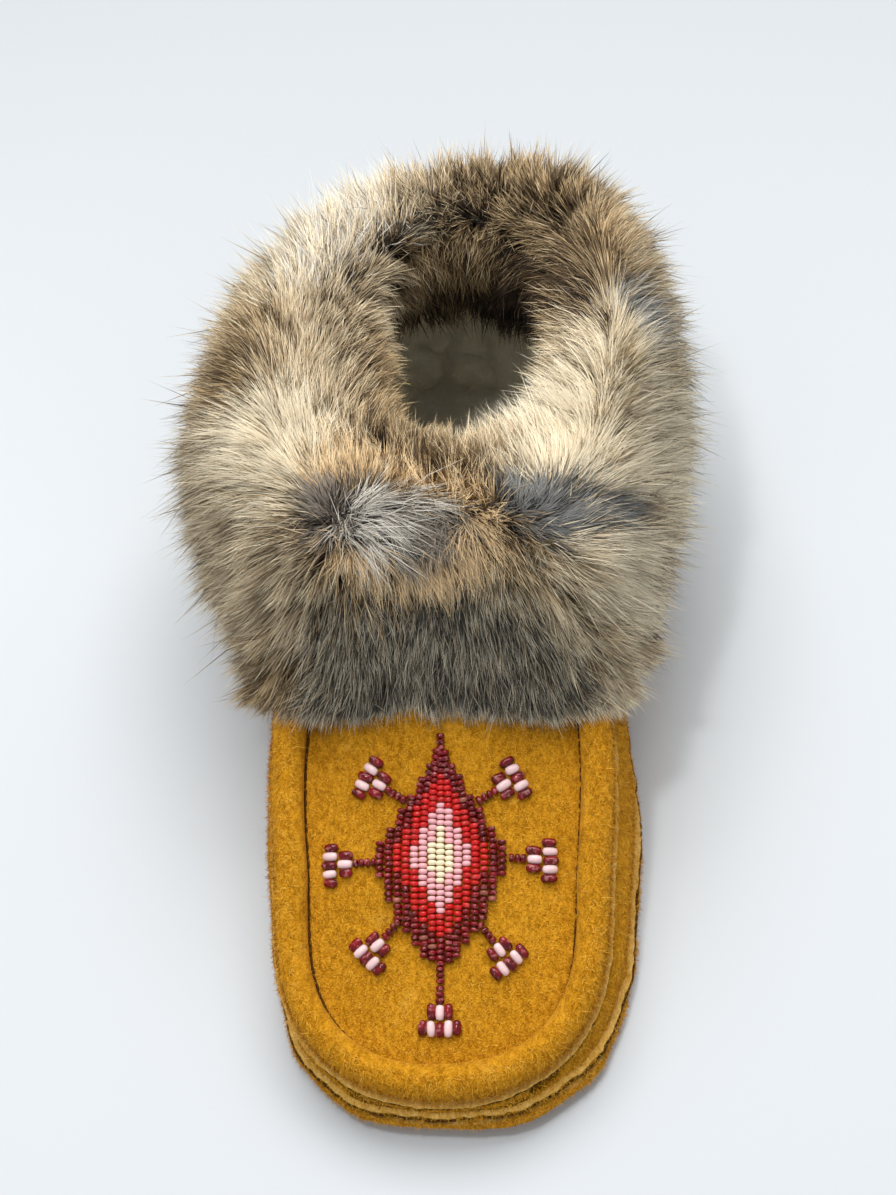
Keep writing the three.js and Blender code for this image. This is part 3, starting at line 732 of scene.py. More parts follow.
# The crease beside the roll: how far in it is looked for, in mm, samples over the roll and past its
# top, and samples that are averaged
CREASE_REACH = np.arange(0.5, 17, 0.5)
ROLL_SAMPLES, PAST_TOP, AVERAGED = 16, 14, 7


def edge_round(along, low, high):
    """Starts and directions of rays that meet an end of the wall from outside, between two turns."""
    stations = []
    for turn in np.radians(np.linspace(low, high, round((high - low) / EDGE_TURN))):
        away = Vector((math.sin(turn), -math.cos(turn), 0))
        stations.append((Vector((AXIS_X, TOE_Y + along * MM, 0)) + away * FAR_OUT, -away))
    return stations


def edge_side(side, places_along):
    """The same for one side of the wall."""
    way = Vector((-side, 0, 0))
    return [(Vector((AXIS_X + side * FAR_OUT, TOE_Y + along * MM, 0)), way) for along in places_along]


def edge_stations(heel):
    """Rays from the wall's left side round the toe to its right side, or from the heel all round."""
    straight = np.arange(TOE_ROUND_AT, HEEL_ROUND_AT if heel else ROLL_END, EDGE_STEP)
    stations = edge_side(-1, straight[::-1]) + edge_round(TOE_ROUND_AT, -90, 90) + edge_side(1, straight)
    if heel:
        stations = edge_round(HEEL_ROUND_AT, -180, -91) + stations + edge_round(HEEL_ROUND_AT, 91, 180)
    return stations


def level_line(tree, level, middle):
    """Points of the wall at one level, and the way out from each."""
    spots, away = [], []
    for start, way in edge_stations(level is foot_level):
        spot = start.copy()
        spot.z = LEVEL_START * MM
        hit = None
        for _ in range(LEVEL_TRIES):
            hit = tree.ray_cast(spot, way)[0] or hit
            if hit is not None:
                spot.z = hit.z + (middle - level(np.array([hit]))[0]) * MM
        spots.append((hit.x, hit.y, spot.z))
        away.append(-way)
    return np.array(spots), np.array(away)


def crease_line(tree, roots, away):
    """The lowest points between the roll and the vamp, where a dark thread is laid as painted shade for the
    shadowed slit.
    """
    line = []
    for root, way in zip(roots, away):
        inward = [root - way * reach * MM for reach in CREASE_REACH]
        heights = [tree.ray_cast(Vector((x, y, ABOVE)), DOWN)[0].z for x, y, _ in inward]
        top = int(np.argmax(heights[:ROLL_SAMPLES]))
        low = top + int(np.argmin(heights[top:top + PAST_TOP]))
        # The thread sinks deeper on the right, where the painted shade of the crease is fainter.
        sunk = float(np.interp(way[0], [-1, 0.2], [0.05, 0.26]))
        line.append((inward[low][0], inward[low][1], heights[low] - sunk * MM))
    padded = np.pad(np.array(line), ((AVERAGED // 2, AVERAGED // 2), (0, 0)), "edge")
    return sum(padded[i:i + len(line)] for i in range(AVERAGED)) / AVERAGED


def raw_edge(name, roots, away, out, thick, seed):
    """A thin ragged strip along a line of points."""
    ragged = 0.35 * ripple(roots, 1.6 * MM, 21 + seed) + 0.3 * ripple(roots, 5 * MM, 24 + seed)
    rough_up = 0.3 * ripple(roots, 4 * MM, 27 + seed)
    rings = []
    for reach, up in EDGE_SECTION:
        past = np.where(reach > 0, reach * (out + ragged), reach)
        lift = UP * ((up * thick + rough_up) * MM)[:, None]
        rings.append(roots + away * past[:, None] * MM + lift)
    grid = np.stack(rings, 1)
    count, sides = grid.shape[:2]
    faces = [(a, d, c, b) for a, b, c, d in grid_faces(count, sides, columns_close=True)]
    faces += [tuple(range(sides - 1, -1, -1)), tuple(range((count - 1) * sides, count * sides))]
    edge = new_piece(name, grid.reshape(-1, 3), faces)
    bpy.ops.object.mode_set(mode="EDIT")
    bpy.ops.mesh.select_all(action="SELECT")
    bpy.ops.mesh.normals_make_consistent(inside=False)
    bpy.ops.object.mode_set(mode="OBJECT")
    bpy.ops.object.shade_smooth_by_angle(angle=math.radians(40))
    return finish_piece(edge, SUEDE_RAW)


def sew(name, line):
    """Dark thread: one short stitch after another along a line of points. It is partly stitching and partly
    painted shade, the dark line of a seam's groove.
    """
    run = np.concatenate([[0], np.cumsum(np.linalg.norm(np.diff(line, axis=0), axis=1))])
    stitches = []
    for at in np.arange(STITCH_PITCH, run[-1] - STITCH_PITCH, STITCH_PITCH):
        a, b = (np.array([np.interp(at + shift, run, axis) for axis in line.T]) for shift in (-MM, MM))
        way = unit(b - a) + chance.normal(0, 0.06, 3)
        side = unit(np.cross(way, UP))
        long = STITCH_LONG * chance.uniform(0.8, 1.2)
        thick = STITCH_THICK * chance.uniform(0.75, 1.2)
        turn = np.array([side * thick, way * long, unit(np.cross(side, way)) * thick])
        stitches.append((turn, (a + b) / 2))
    finish_piece(bead_copies(name, stitches), THREAD_AND_SHADE)


def make_edges(wall, vamp):
    tree = tree_of(wall)
    edges = []
    for seed, (name, level, middle, out, thick, thread_out, under) in enumerate(EDGES):
        roots, away = level_line(tree, level, middle)
        edges.append(raw_edge(name, roots, away, out, thick, seed))
        sew(f"{name}_thread", roots + (away * thread_out - UP * under) * MM)
        if level is roll_level:
            # The crease thread is painted shade: a dark thread that stands in for the shadowed slit between
            # the roll and the vamp.
            sew("crease_painted_shade", crease_line(tree_of(wall, vamp), roots, away))
    return edges


# Beads

# Distance between strings, length of a bead in the charts and distance between beads on a string
BEAD_WIDE, BEAD_LONG = 2.25 * MM, 1.5 * MM
BEAD_PITCH = 1.4 * MM
# A bead's thickness, its height as a share of that, and the height of its middle over the vamp in mm
BEAD_THICK, BEAD_LOW, BEAD_UP = 2.34 * MM, 0.92, 0.95
# How far the outer strings are drawn in towards the cuff and towards the toe
STRING_BOW, TOE_BOW = 0.11, 0.02
# The diamond's middle from the toe tip, and half its length in beads
DIAMOND_AT, DIAMOND_HALF = 57.5 * MM, 20
# Strings of the diamond, by their number from the middle: reach to the cuff and to the toe in beads
DIAMOND = [
    (0, 20, 20), (1, 17, 17), (2, 15, 16), (3, 13, 14), (4, 10, 12), (5, 8, 10), (6, 5, 7), (7, 3, 3),
]
# The nested diamonds: how far each tone reaches from the middle row, string by string from the middle one
DIAMOND_CHART = [
    ("cream", [4.7, 2.4]), ("pink", [8.9, 7.5, 4.3, 1.9]), ("red", [13, 12.2, 10.4, 8, 5, 2.7]),
]
FANS = [
    # across, along, turn
    (-11.4, 72.6, 122), (11.6, 72.2, -122), (-19.4, 56.6, 90), (18.6, 57.5, -90),
    (-12.4, 40.8, 44), (11.6, 39.8, -40), (0, 25.8, 0),
]
# A fan's rows of beads from its stem outward: start and length, and a letter for each string
FAN_CHART = [(-0.8, 1, "w"), (0.2, 1, "w"), (1.2, 1, "w"), (2.2, 2.8, "wbw"), (5.0, 2.8, "wbwbw")]
LETTER = {"w": "wine", "b": "blush"}
# How far the outer strings of a fan fall back, as a share of their distance from its middle
FAN_ROUND = 0.12
# Fans whose stem has one more bead beside the diamond, and that bead's row
LONG_STEMS, STEM_END = (1, 2, 3, 5, 6), (-1.85, 1, "w")


def diamond_tone(string, row):
    for tone, reach in DIAMOND_CHART:
        if string < len(reach) and abs(row) < reach[string]:
            return tone
    return "amber" if chance.random() < 0.04 else "wine"


def string_beads(name, nodes, beads, tree):
    """Beads on the vamp, each by its place, its string's direction, its length and its tone."""
    placed, tones = [], []
    for across, along, ahead, long, tone in beads:
        hit, normal = tree.ray_cast(Vector((AXIS_X + across, TOE_Y + along, ABOVE)), DOWN)[:2]
        way = Vector((*ahead, 0))
        way = (way - normal * way.dot(normal)).normalized()
        way.rotate(Matrix.Rotation(chance.normal(0, 0.06), 3, normal))
        way = (way + normal * chance.normal(0, 0.06)).normalized()
        side = way.cross(normal).normalized()
        up = side.cross(way)
        wide = BEAD_THICK * chance.normal(1, 0.03)
        middle = hit + normal * (BEAD_UP + chance.normal(0, 0.07)) * MM
        turn = np.array([side * wide, way * long * chance.normal(1, 0.04), up * wide * BEAD_LOW])
        placed.append((turn, np.array(middle)))
        tones += [BEAD_ORDER.index(tone)] * len(BEAD_SHAPE[1])
    piece = bead_copies(name, placed)
    for tone in BEAD_ORDER:
        piece.data.materials.append(BEAD[tone])
    piece.data.polygons.foreach_set("material_index", tones)
    return finish_piece(piece, None, nodes)


def diamond_beads():
    """Rows for string_beads: the diamond's strings, the outer ones bowed towards the middle."""
    beads = []
    for string, up, down in DIAMOND:
        for side in ((1, -1) if string else (1,)):
            low, high = -down * BEAD_LONG, up * BEAD_LONG
            count = round((high - low) / BEAD_PITCH)
            shift = chance.normal(0, 0.15) * BEAD_PITCH
            for i in range(count):
                out = low + (i + 0.5) * (high - low) / count + shift
                bow = STRING_BOW if out > 0 else TOE_BOW
                drawn = bow * string * (out / (DIAMOND_HALF * BEAD_LONG)) * side
                across = side * string * BEAD_WIDE - drawn * out / 2 + chance.normal(0, 0.06) * MM
                tone = diamond_tone(string, out / BEAD_LONG)
                beads.append((across, DIAMOND_AT + out, (-drawn, 1), 0.97 * BEAD_PITCH, tone))
    return beads


def fan_beads(across, along, turn, rows):
    """Rows for string_beads: one fan's stem and strings, turned about its place."""
    angle = math.radians(turn)
    ahead = (-math.sin(angle), -math.cos(angle))
    beads = []
    for start, long, letters in rows:
        for i, letter in enumerate(letters):
            aside = (i - (len(letters) - 1) / 2) * BEAD_WIDE * 0.97
            out = (start + long / 2) * BEAD_LONG - FAN_ROUND * abs(aside)
            x = across * MM + ahead[0] * out - ahead[1] * aside
            y = along * MM + ahead[1] * out + ahead[0] * aside
            beads.append((x, y, ahead, long * BEAD_LONG * 0.96, LETTER[letter]))
    return beads


def make_beads(vamp):
    tree = tree_of(vamp)
    string_beads("diamond_beads", ["bead_diamond"], diamond_beads(), tree)
    for number, (across, along, turn) in enumerate(FANS, 1):
        rows = [STEM_END] * (number in LONG_STEMS) + FAN_CHART
        beads = fan_beads(across, along, turn, rows)
        string_beads(f"fan_beads_{number}", [f"bead_fan_{number}"], beads, tree)


# Fur

# The cuff's sections by the turn from the toe: reach and height of the hem, the side, the crest and the
# mouth, then the reach of the fur's inner face at the collar, in mm
CUFF = np.array([
    [-180, 62, 36, 70, 64, 51, 97, 33, 84, 33],
    [-140, 59, 36, 67, 62, 47, 95, 24, 84, 28],
    [-105, 55, 35, 68, 60, 43, 94, 15, 82, 22],
    [-68, 64, 35, 75, 57, 45, 92, 14, 82, 22],
    [-42, 86, 36, 83, 58, 50, 91, 18, 82, 25],
    [-28, 102, 47, 87, 67, 51, 91, 21, 82, 28],
    [0, 93, 50, 79, 72, 47, 91, 26, 82, 29],
    [28, 102, 47, 87, 67, 51, 91, 28, 82, 28],
    [42, 84, 36, 80, 58, 50, 91, 29, 82, 28],
    [68, 60, 35, 67, 57, 45, 93, 28, 82, 27],
    [105, 55, 35, 65, 63, 46, 97, 28, 83, 27],
    [140, 62, 36, 74, 68, 56, 99, 32, 84, 31],
    [180, 62, 36, 70, 64, 51, 97, 33, 84, 33],
], float)
# The round face between them: from one to the next, shares outward and upward
CUFF_ROUND = [
    (0, 1, 0.95, 0.45), (0, 1, 1, 1), (1, 2, 0.3, 0.62),
    (1, 2, 0.66, 0.92), (1, 2, 1, 1), (2, 3, 0.7, 0.3),
]
# The leg inside the mouth: how far it stands out from the inner face, and its height, in mm
INNER_OUT, INNER_UP = 4, 55
# The face's grid: steps round it and from the hem inward, the spans from the hem to the mouth, and its
# last place
TURNS, PLACES, SPANS = 360, 90, 7
LAST_PLACE = 1.27
# How far the hair may stand past the solids' box, in mm
HAIR_PAST = 11


def smooth_rows(table, at):
    """A smooth closed curve through a table's rows, read at many turns."""
    turns, values = table[:, 0], table[:, 1:]
    before = np.vstack([values[-2], values[:-1]])
    after = np.vstack([values[1:], values[1]])
    gaps = np.append(np.diff(turns), turns[1] - turns[0])
    behind = np.append(turns[-1] - turns[-2], np.diff(turns))
    slope = (after - before) / (gaps + behind)[:, None]
    i = np.clip(np.searchsorted(turns, at, "right") - 1, 0, len(turns) - 2)
    width = (turns[i + 1] - turns[i])[:, None]
    share = ((at - turns[i]) / width[:, 0])[:, None]
    return smooth_between(values[i], values[i + 1], slope[i] * width, slope[i + 1] * width, share)


def smooth_between(first, second, leave, arrive, share):
    rest = 1 - share
    return (first * (1 + 2 * share) * rest**2 + leave * share * rest**2
            + second * (3 - 2 * share) * share**2 - arrive * rest * share**2)


def cuff_grid():
    """Points of the fur's face by the place: from the hem (0) to the mouth (1) and on inside."""
    turns = np.linspace(-180, 180, TURNS + 1)
    row = smooth_rows(CUFF, turns)
    reach, up, leg = row[:, 0:8:2], row[:, 1:8:2], row[:, 8] + INNER_OUT
    face = [(reach[:, 0], up[:, 0])]
    for low, high, out, rise in CUFF_ROUND:
        if low == 0:
            out = np.where(reach[:, low] > reach[:, high] + 1, min(out, 1.2 * rise), out)
        here = reach[:, low] + (reach[:, high] - reach[:, low]) * out
        face.append((here, up[:, low] + (up[:, high] - up[:, low]) * rise))
    face.append((reach[:, 3], up[:, 3]))
    face.append(((reach[:, 3] + leg) / 2, (up[:, 3] + INNER_UP) / 2 + 1))
    face.append((leg, np.full_like(leg, INNER_UP)))
    face = np.array(face).transpose(2, 0, 1)
    at = np.linspace(0, LAST_PLACE, PLACES + 1) * SPANS
    i = np.clip(at.astype(int), 0, face.shape[1] - 2)
    before, after = np.clip(i - 1, 0, None), np.clip(i + 2, None, face.shape[1] - 1)
    leave = (face[:, i + 1] - face[:, before]) / 2
    arrive = (face[:, after] - face[:, i]) / 2
    line = smooth_between(face[:, i], face[:, i + 1], leave, arrive, (at - i)[None, :, None])
    angle = np.radians(turns)[:, None]
    x = AXIS_X + np.sin(angle) * line[..., 0] * MM
    y = CUFF_Y - np.cos(angle) * line[..., 0] * MM
    return np.stack([x, y, line[..., 1] * MM], -1)


CUFF_GRID = cuff_grid()
ROUND_WAY = unit(np.gradient(CUFF_GRID, axis=0))
ROUND_WAY[0] = ROUND_WAY[-1] = unit(CUFF_GRID[1] - CUFF_GRID[-2])
RISE_WAY = unit(np.gradient(CUFF_GRID, axis=1))
OUT_WAY = unit(np.cross(ROUND_WAY, RISE_WAY))
CUFF_STEP = np.linalg.norm(np.diff(CUFF_GRID, axis=1), axis=2)
FROM_HEM = np.concatenate([np.zeros((TURNS + 1, 1)), np.cumsum(CUFF_STEP, axis=1)], 1)[..., None]


def read_grid(grid, turn, place):
    """A grid's values at many turns and places."""
    a = (turn + 180) / 360 * TURNS
    b = place / LAST_PLACE * PLACES
    i, j = np.clip(a.astype(int), 0, TURNS - 1), np.clip(b.astype(int), 0, PLACES - 1)
    u, v = (a - i)[:, None], (b - j)[:, None]
    return ((1 - u) * (1 - v) * grid[i, j] + u * (1 - v) * grid[i + 1, j]
            + (1 - u) * v * grid[i, j + 1] + u * v * grid[i + 1, j + 1])


def on_cuff(rows):
    """Points of a table's rows on the cuff's face, by their turn and place."""
    rows = np.array([row[:2] for row in rows], float)
    return read_grid(CUFF_GRID, rows[:, 0], rows[:, 1])


# Patches of each coat: turn and place on the cuff, radius in mm and weight
PATCHES = {
    "cream": [
        (54, 0.72, 13, 2.8), (72, 0.58, 12, 2.6), (50, 0.54, 10, 1.8), (45, 0.78, 11, 2.4),
        (64, 0.47, 10, 1.8), (86, 0.54, 8, 1.0), (46, 0.95, 7, 1.0), (32, 0.38, 14, 1.3),
        (39, 0.30, 12, 1.4), (29, 0.0, 9, 0.8), (-59, 0.56, 12, 1.2), (-63, 0.69, 11, 1.0),
        (-46, 0.48, 12, 1.1), (-57, 0.48, 12, 1.2), (-48, 0.68, 9, 1.4), (-139, 0.65, 14, 0.6),
        (-153, 0.68, 12, 0.6), (-124, 0.72, 11, 0.7), (-150, 0.35, 18, 0.7), (75, 0.25, 18, 1.2),
    ],
    "beige": [
        (-51, 0.40, 12, 1.1), (-63, 0.38, 10, 0.8), (-32, 0.42, 13, 1.0), (-32, 0.28, 14, 0.8),
        (20, 0.38, 12, 0.9), (26, 0.30, 14, 0.9), (31, 0.11, 12, 0.8), (26, 0.82, 8, 1.0),
        (21, 0.85, 8, 0.8), (26, 0.93, 7, 1.0), (79, 0.87, 8, 0.9), (-170, 0.75, 11, 1.2),
        (-138, 0.86, 9, 1.2), (-146, 1.0, 9, 1.1), (-118, 0.99, 9, 0.9), (-114, 0.78, 9, 0.9),
        (-140, 0.66, 16, 0.9), (-87, 0.78, 10, 1.0), (-72, 0.72, 9, 1.0), (-64, 0.82, 8, 1.0),
        (180, 0.3, 20, 0.6),
    ],
    "tan": [
        (-40, 0.71, 5.5, 1.8), (-33, 0.76, 5.5, 2.2), (-21, 0.78, 5.5, 2.2), (-8, 0.75, 5.5, 1.8),
        (5, 0.72, 5.5, 2.4), (12, 0.68, 5.5, 3.2), (12, 0.56, 5.8, 4.0), (10, 0.48, 6, 4.4),
        (6, 0.41, 6, 4.6), (0, 0.37, 6, 4.6), (-6, 0.37, 6, 4.2), (-12, 0.41, 5.8, 3.4),
        (-17, 0.44, 5.5, 2.6), (-22, 0.48, 5.5, 1.8), (-48, 0.86, 7, 0.8), (131, 0.64, 10, 0.4),
        (120, 0.65, 9, 0.4), (126, 0.47, 11, 0.4),
    ],
    "brown": [
        (17, 0.51, 8, 0.8), (18, 0.44, 10, 0.7), (13, 0.80, 7, 0.9), (-10, 0.82, 8, 0.8),
        (-28, 0.13, 14, 1.0), (-11, 0.30, 12, 0.7), (161, 0.75, 12, 1.2), (144, 0.75, 11, 1.1),
        (122, 0.76, 9, 1.2), (133, 0.83, 9, 1.2), (111, 0.73, 7, 1.2), (174, 1.0, 9, 1.4),
        (-164, 0.99, 9, 1.2), (-172, 1.26, 9, 1.4), (167, 0.99, 12, 1.3), (-81, 0.52, 11, 1.0),
        (-83, 0.66, 11, 0.9), (-83, 0.92, 7, 1.0), (-57, 0.89, 9, 0.8), (-36, 0.92, 8, 0.8),
        (165, 0.45, 20, 0.6), (-90, 0.2, 20, 0.5), (100, 0.95, 9, 1.0),
    ],
    "dark": [
        (134, 1.04, 8, 2.4), (149, 0.99, 8, 1.5), (167, 1.23, 8, 1.6), (114, 0.82, 8, 1.2),
        (-128, 0.80, 5, 1.8), (-155, 0.85, 5, 1.8), (172, 0.85, 5, 1.6), (120, 1.1, 10, 2.0),
        (150, 1.15, 14, 2.0), (-168, 1.26, 8, 1.2), (128, 0.95, 10, 2.2), (141, 1.10, 11, 2.6),
        (112, 1.0, 9, 1.6),
    ],
    "slate": [
        (-11, 0.20, 18, 1.1), (-5, 0.08, 22, 1.5), (-14, 0.07, 14, 1.1), (6, 0.17, 18, 1.2),
        (14, 0.28, 14, 0.9), (16, 0.10, 16, 1.0), (100, 0.15, 20, 0.5), (35, 0.61, 6, 1.4),
        (41, 0.54, 6, 1.2), (-141, 0.83, 5, 1.3), (-168, 0.86, 6, 1.0),
    ],
    "grey": [
        (-24, 0.61, 5, 1.0), (23, 0.68, 7, 2.2), (29, 0.61, 9, 2.4), (33, 0.52, 9, 2.2),
        (24, 0.56, 7, 1.7), (42, 0.49, 7, 1.5), (47, 0.40, 7, 1.4), (101, 0.56, 9, 1.0),
        (99, 0.45, 9, 1.2), (-170, 0.4, 14, 0.5), (-146, 0.62, 13, 0.8), (-130, 0.68, 11, 0.7),
    ],
    "white": [
        (-18, 0.55, 6, 2.0), (-13, 0.59, 7, 2.0), (-6, 0.58, 6, 1.4), (-14, 0.49, 7, 1.8),
        (-8, 0.49, 6, 1.2), (-1, 0.0, 5, 0.8), (-139, 0.65, 13, 1.2), (-153, 0.68, 11, 1.1),
        (-124, 0.72, 10, 1.0), (99, 0.50, 9, 1.0),
    ],
    "smoke": [
        (-24, 0.56, 7, 2.2), (-29, 0.64, 8, 2.4), (-9, 0.54, 9, 1.3), (-27, 0.52, 8, 2.0),
        (1, 0.47, 7, 3.4), (-4, 0.42, 6, 3.0), (4, 0.53, 6, 2.8), (-172, 0.83, 4, 1.5),
    ],
}
# Weights of the coats that grow everywhere
PLAIN = {"beige": 0.16, "brown": 0.14, "cream": 0.06}


def choose_coats(spots):
    """A coat for each hair, by the patches that it is near to."""
    weight = np.zeros((len(spots), len(COATS)))
    for name, share in PLAIN.items():
        weight[:, COAT_NAMES.index(name)] += share
    for name, rows in PATCHES.items():
        for middle, (_, _, radius, share) in zip(on_cuff(rows), rows):
            away = np.linalg.norm(spots - middle, axis=1) / (radius * MM)
            weight[:, COAT_NAMES.index(name)] += share * np.exp(-1.3 * away**2)
    total = np.cumsum(weight**2, axis=1)
    pick = chance.random(len(spots)) * total[:, -1]
    return (total < pick[:, None]).sum(axis=1)


# Where the hair parts, by the turn from the toe: below it runs to the hem, and above it into the mouth
PARTING = [
    (-180, 0.76), (-156, 0.82), (-129, 0.80), (-100, 0.70), (-70, 0.72), (-40, 0.74), (-25, 0.82),
    (0, 0.80), (14, 0.76), (28, 0.62), (45, 0.50), (60, 0.48), (90, 0.52), (110, 0.62), (150, 0.74),
    (180, 0.76),
]
# Whorls, where the hair runs out from a middle: turn, place, radius in mm and strength
WHORLS = [(-29, 0.59, 20, 1.1)]
# Strips of pelt whose hair runs to one side: turn, place, radius in mm and sideways run (right positive)
DRIFTS = [
    (-12, 0.55, 13, 1.0), (24, 0.34, 24, 0.5), (-34, 0.28, 24, -0.35), (60, 0.35, 24, 0.5),
    (-70, 0.55, 26, -0.5), (-120, 0.6, 26, -0.4), (110, 0.6, 24, 0.5), (36, 0.56, 12, 0.5),
]
# Over what share of the way from the hem to the mouth the hair turns at the parting
PARTING_WIDE = 0.22
# The middle of a whorl, where the hair stands up, in mm
WHORL_MIDDLE = 11


def hair_run(turn, place, spots):
    """The way the hair runs over the cuff's face, at most one long."""
    aside = read_grid(ROUND_WAY, turn, place)
    part = np.interp(turn, *zip(*PARTING))
    run = read_grid(RISE_WAY, turn, place) * np.clip((place - part) / PARTING_WIDE, -1, 1)[:, None]
    for middle, (_, _, radius, strength) in zip(on_cuff(WHORLS), WHORLS):
        away = spots - middle
        far = np.linalg.norm(away, axis=1, keepdims=True)
        share = strength * np.exp(-(far / (radius * MM)) ** 2)
        run = run * (1 - 0.7 * np.minimum(share, 1)) + away / (far + WHORL_MIDDLE * MM) * share
    for middle, (_, _, radius, strength) in zip(on_cuff(DRIFTS), DRIFTS):
        far = np.linalg.norm(spots - middle, axis=1, keepdims=True)
        run = run + aside * strength * np.exp(-(far / (radius * MM)) ** 2)
    return run / np.maximum(np.linalg.norm(run, axis=1, keepdims=True), 1)


# No hair grows nearer to the hem than this, in mm, and less of it grows past this place, inside the leg
BARE_HEM, LEG_PLACE, LEG_THICK = 2.5, 1.1, 0.6


def sow(count):
    """Turns and places spread evenly over the cuff's face, thinner inside the leg."""
    round_step, rise_step = np.diff(CUFF_GRID, axis=0)[:, :-1], np.diff(CUFF_GRID, axis=1)[:-1]
    area = np.linalg.norm(np.cross(round_step, rise_step), axis=2)
    thick = np.where(np.linspace(0, LAST_PLACE, PLACES) > LEG_PLACE, LEG_THICK, 1.0)
    total = np.cumsum((area * (thick * (FROM_HEM[:-1, :-1, 0] > BARE_HEM * MM))).ravel())
    i, j = np.divmod(np.searchsorted(total, chance.random(count) * total[-1]), PLACES)
    turn = (i + chance.random(count)) / TURNS * 360 - 180
    place = (j + chance.random(count)) / PLACES * LAST_PLACE
    return turn, place


# What the cuff's skirt lies on, by the distance from the toe tip: the height of the rolled seam, and
# how far the vamp stands up between its sides, in mm
SKIRT_AT, SEAM_UP, CROWN_UP = [0, 40, 80, 110, 140], [16.5, 26, 39, 51, 62], [0.5, 3, 5, 7, 8]
# Half the width of the vamp's curve, of the vamp and of the rolled seam, and the height of the roll's
# top, in mm
CROWN_HALF, VAMP_HALF, ROLL_HALF, ROLL_TOP = 34, 32, 43, 4.5


def last_height(spots):
    """Height of the vamp and the rolled seam under the cuff's skirt."""
    along = along_shoe(spots)
    across = np.abs(spots[..., 0] - AXIS_X) / MM
    seam = np.interp(along, SKIRT_AT, SEAM_UP)
    middle = seam + np.interp(along, SKIRT_AT, CROWN_UP) * (1 - (across / CROWN_HALF) ** 2)
    return np.where(across < ROLL_HALF, np.where(across < VAMP_HALF, middle, seam + ROLL_TOP), 0) * MM


def hair_mesh(name, lines, half, side, u, top, normals):
    """Many hairs in one mesh: each a narrow ribbon along its line, drawn to a point."""
    count, steps = lines.shape[:2]
    taper = np.sqrt(1 - np.linspace(0, 1, steps) ** 2) * np.where(np.arange(steps) == 0, 0.75, 1.0)
    offset = side[:, None] * (half[:, None] * taper[None])[..., None]
    body = np.stack([lines - offset, lines + offset], 2)[:, :-1].reshape(count, -1, 3)
    spots = np.concatenate([body, lines[:, -1:]], 1)
    per = spots.shape[1]
    quads = [(2 * i, 2 * i + 1, 2 * i + 3, 2 * i + 2) for i in range(steps - 2)]
    corners = [corner for quad in quads for corner in quad] + [per - 3, per - 2, per - 1]
    loops = (np.arange(count)[:, None] * per + np.array(corners)[None]).ravel()
    sizes = np.tile([4] * len(quads) + [3], count)
    starts = np.concatenate([[0], np.cumsum(sizes)[:-1]])
    mesh = bpy.data.meshes.new(name)
    mesh.vertices.add(count * per)
    mesh.vertices.foreach_set("co", spots.ravel())
    mesh.loops.add(len(loops))
    mesh.loops.foreach_set("vertex_index", loops.astype(np.int32))
    mesh.polygons.add(len(sizes))
    mesh.polygons.foreach_set("loop_start", starts.astype(np.int32))
    mesh.update(calc_edges=True)
    level = np.append(np.repeat(np.arange(steps - 1), 2), steps - 1) / (steps - 1)
    v = top[:, None] * level[None] * 0.98 + 0.01
    spread = np.stack([np.repeat(u[:, None], per, 1), v], -1).reshape(-1, 2)
    mesh.uv_layers.new(name="OFBake").data.foreach_set("uv", spread[loops].ravel())
    mesh.shade_smooth()
    mesh.normals_split_custom_set_from_vertices(np.repeat(normals[:, None], per, 1).reshape(-1, 3))
    piece = bpy.data.objects.new(name, mesh)
    bpy.context.scene.collection.objects.link(piece)
    return finish_piece(piece, FUR)


def nearest_of(middles, spots):
    """Which of the middles is nearest to each point."""
    tree = KDTree(len(middles))
    for i, middle in enumerate(middles):
        tree.insert(middle, i)
    tree.balance()
    return np.array([tree.find(spot)[1] for spot in spots])


TUFT_COUNT = 3200
TUFTS = read_grid(CUFF_GRID, *sow(TUFT_COUNT))
TUFT_SWAY = chance.normal(0, 0.26, (TUFT_COUNT, 3))
TUFT_SIZE = chance.uniform(0.86, 1.14, TUFT_COUNT)
TUFT_DEPTH = chance.normal(0, 0.15, TUFT_COUNT)
# How closely the hair at the mouth is cropped, by the turn from the toe
CROP = [
    (-180, 0.1), (-140, 0.3), (-100, 0.5), (-60, 0.7), (-20, 1.0), (10, 1.0), (40, 0.85), (90, 0.9),
    (120, 0.6), (150, 0.1), (180, 0.1),
]
# How far the skin lies under the cuff's face, and how much less at the mouth, in mm
HAIR_SUNK, MOUTH_SUNK = 9.0, 4.0
# Points along a hair, how far a tuft draws a tip, how far the hem's hairs stay over the vamp, and the
# most that they are lifted for it, in mm
HAIR_STEPS, TUFT_PULL, HEM_CLEAR, HEM_LIFT = 3, 4, 0.7, 9
# Shares of the hairs: long ones, ones with a black tip, and the soft ones that the guard hair leaves to
# the down
LONG_SHARE, BLACK_SHARE, SOFT_LEFT = 0.05, 0.09, 0.25
CREAM, WHITE, BLACK_TIP = (COAT_NAMES.index(name) for name in ("cream", "white", "black_tip"))


def mouth_sink(place):
    """How far the skin lies under the cuff's face: less at the mouth."""
    return HAIR_SUNK - MOUTH_SUNK * step(0.80, 1.02, place)


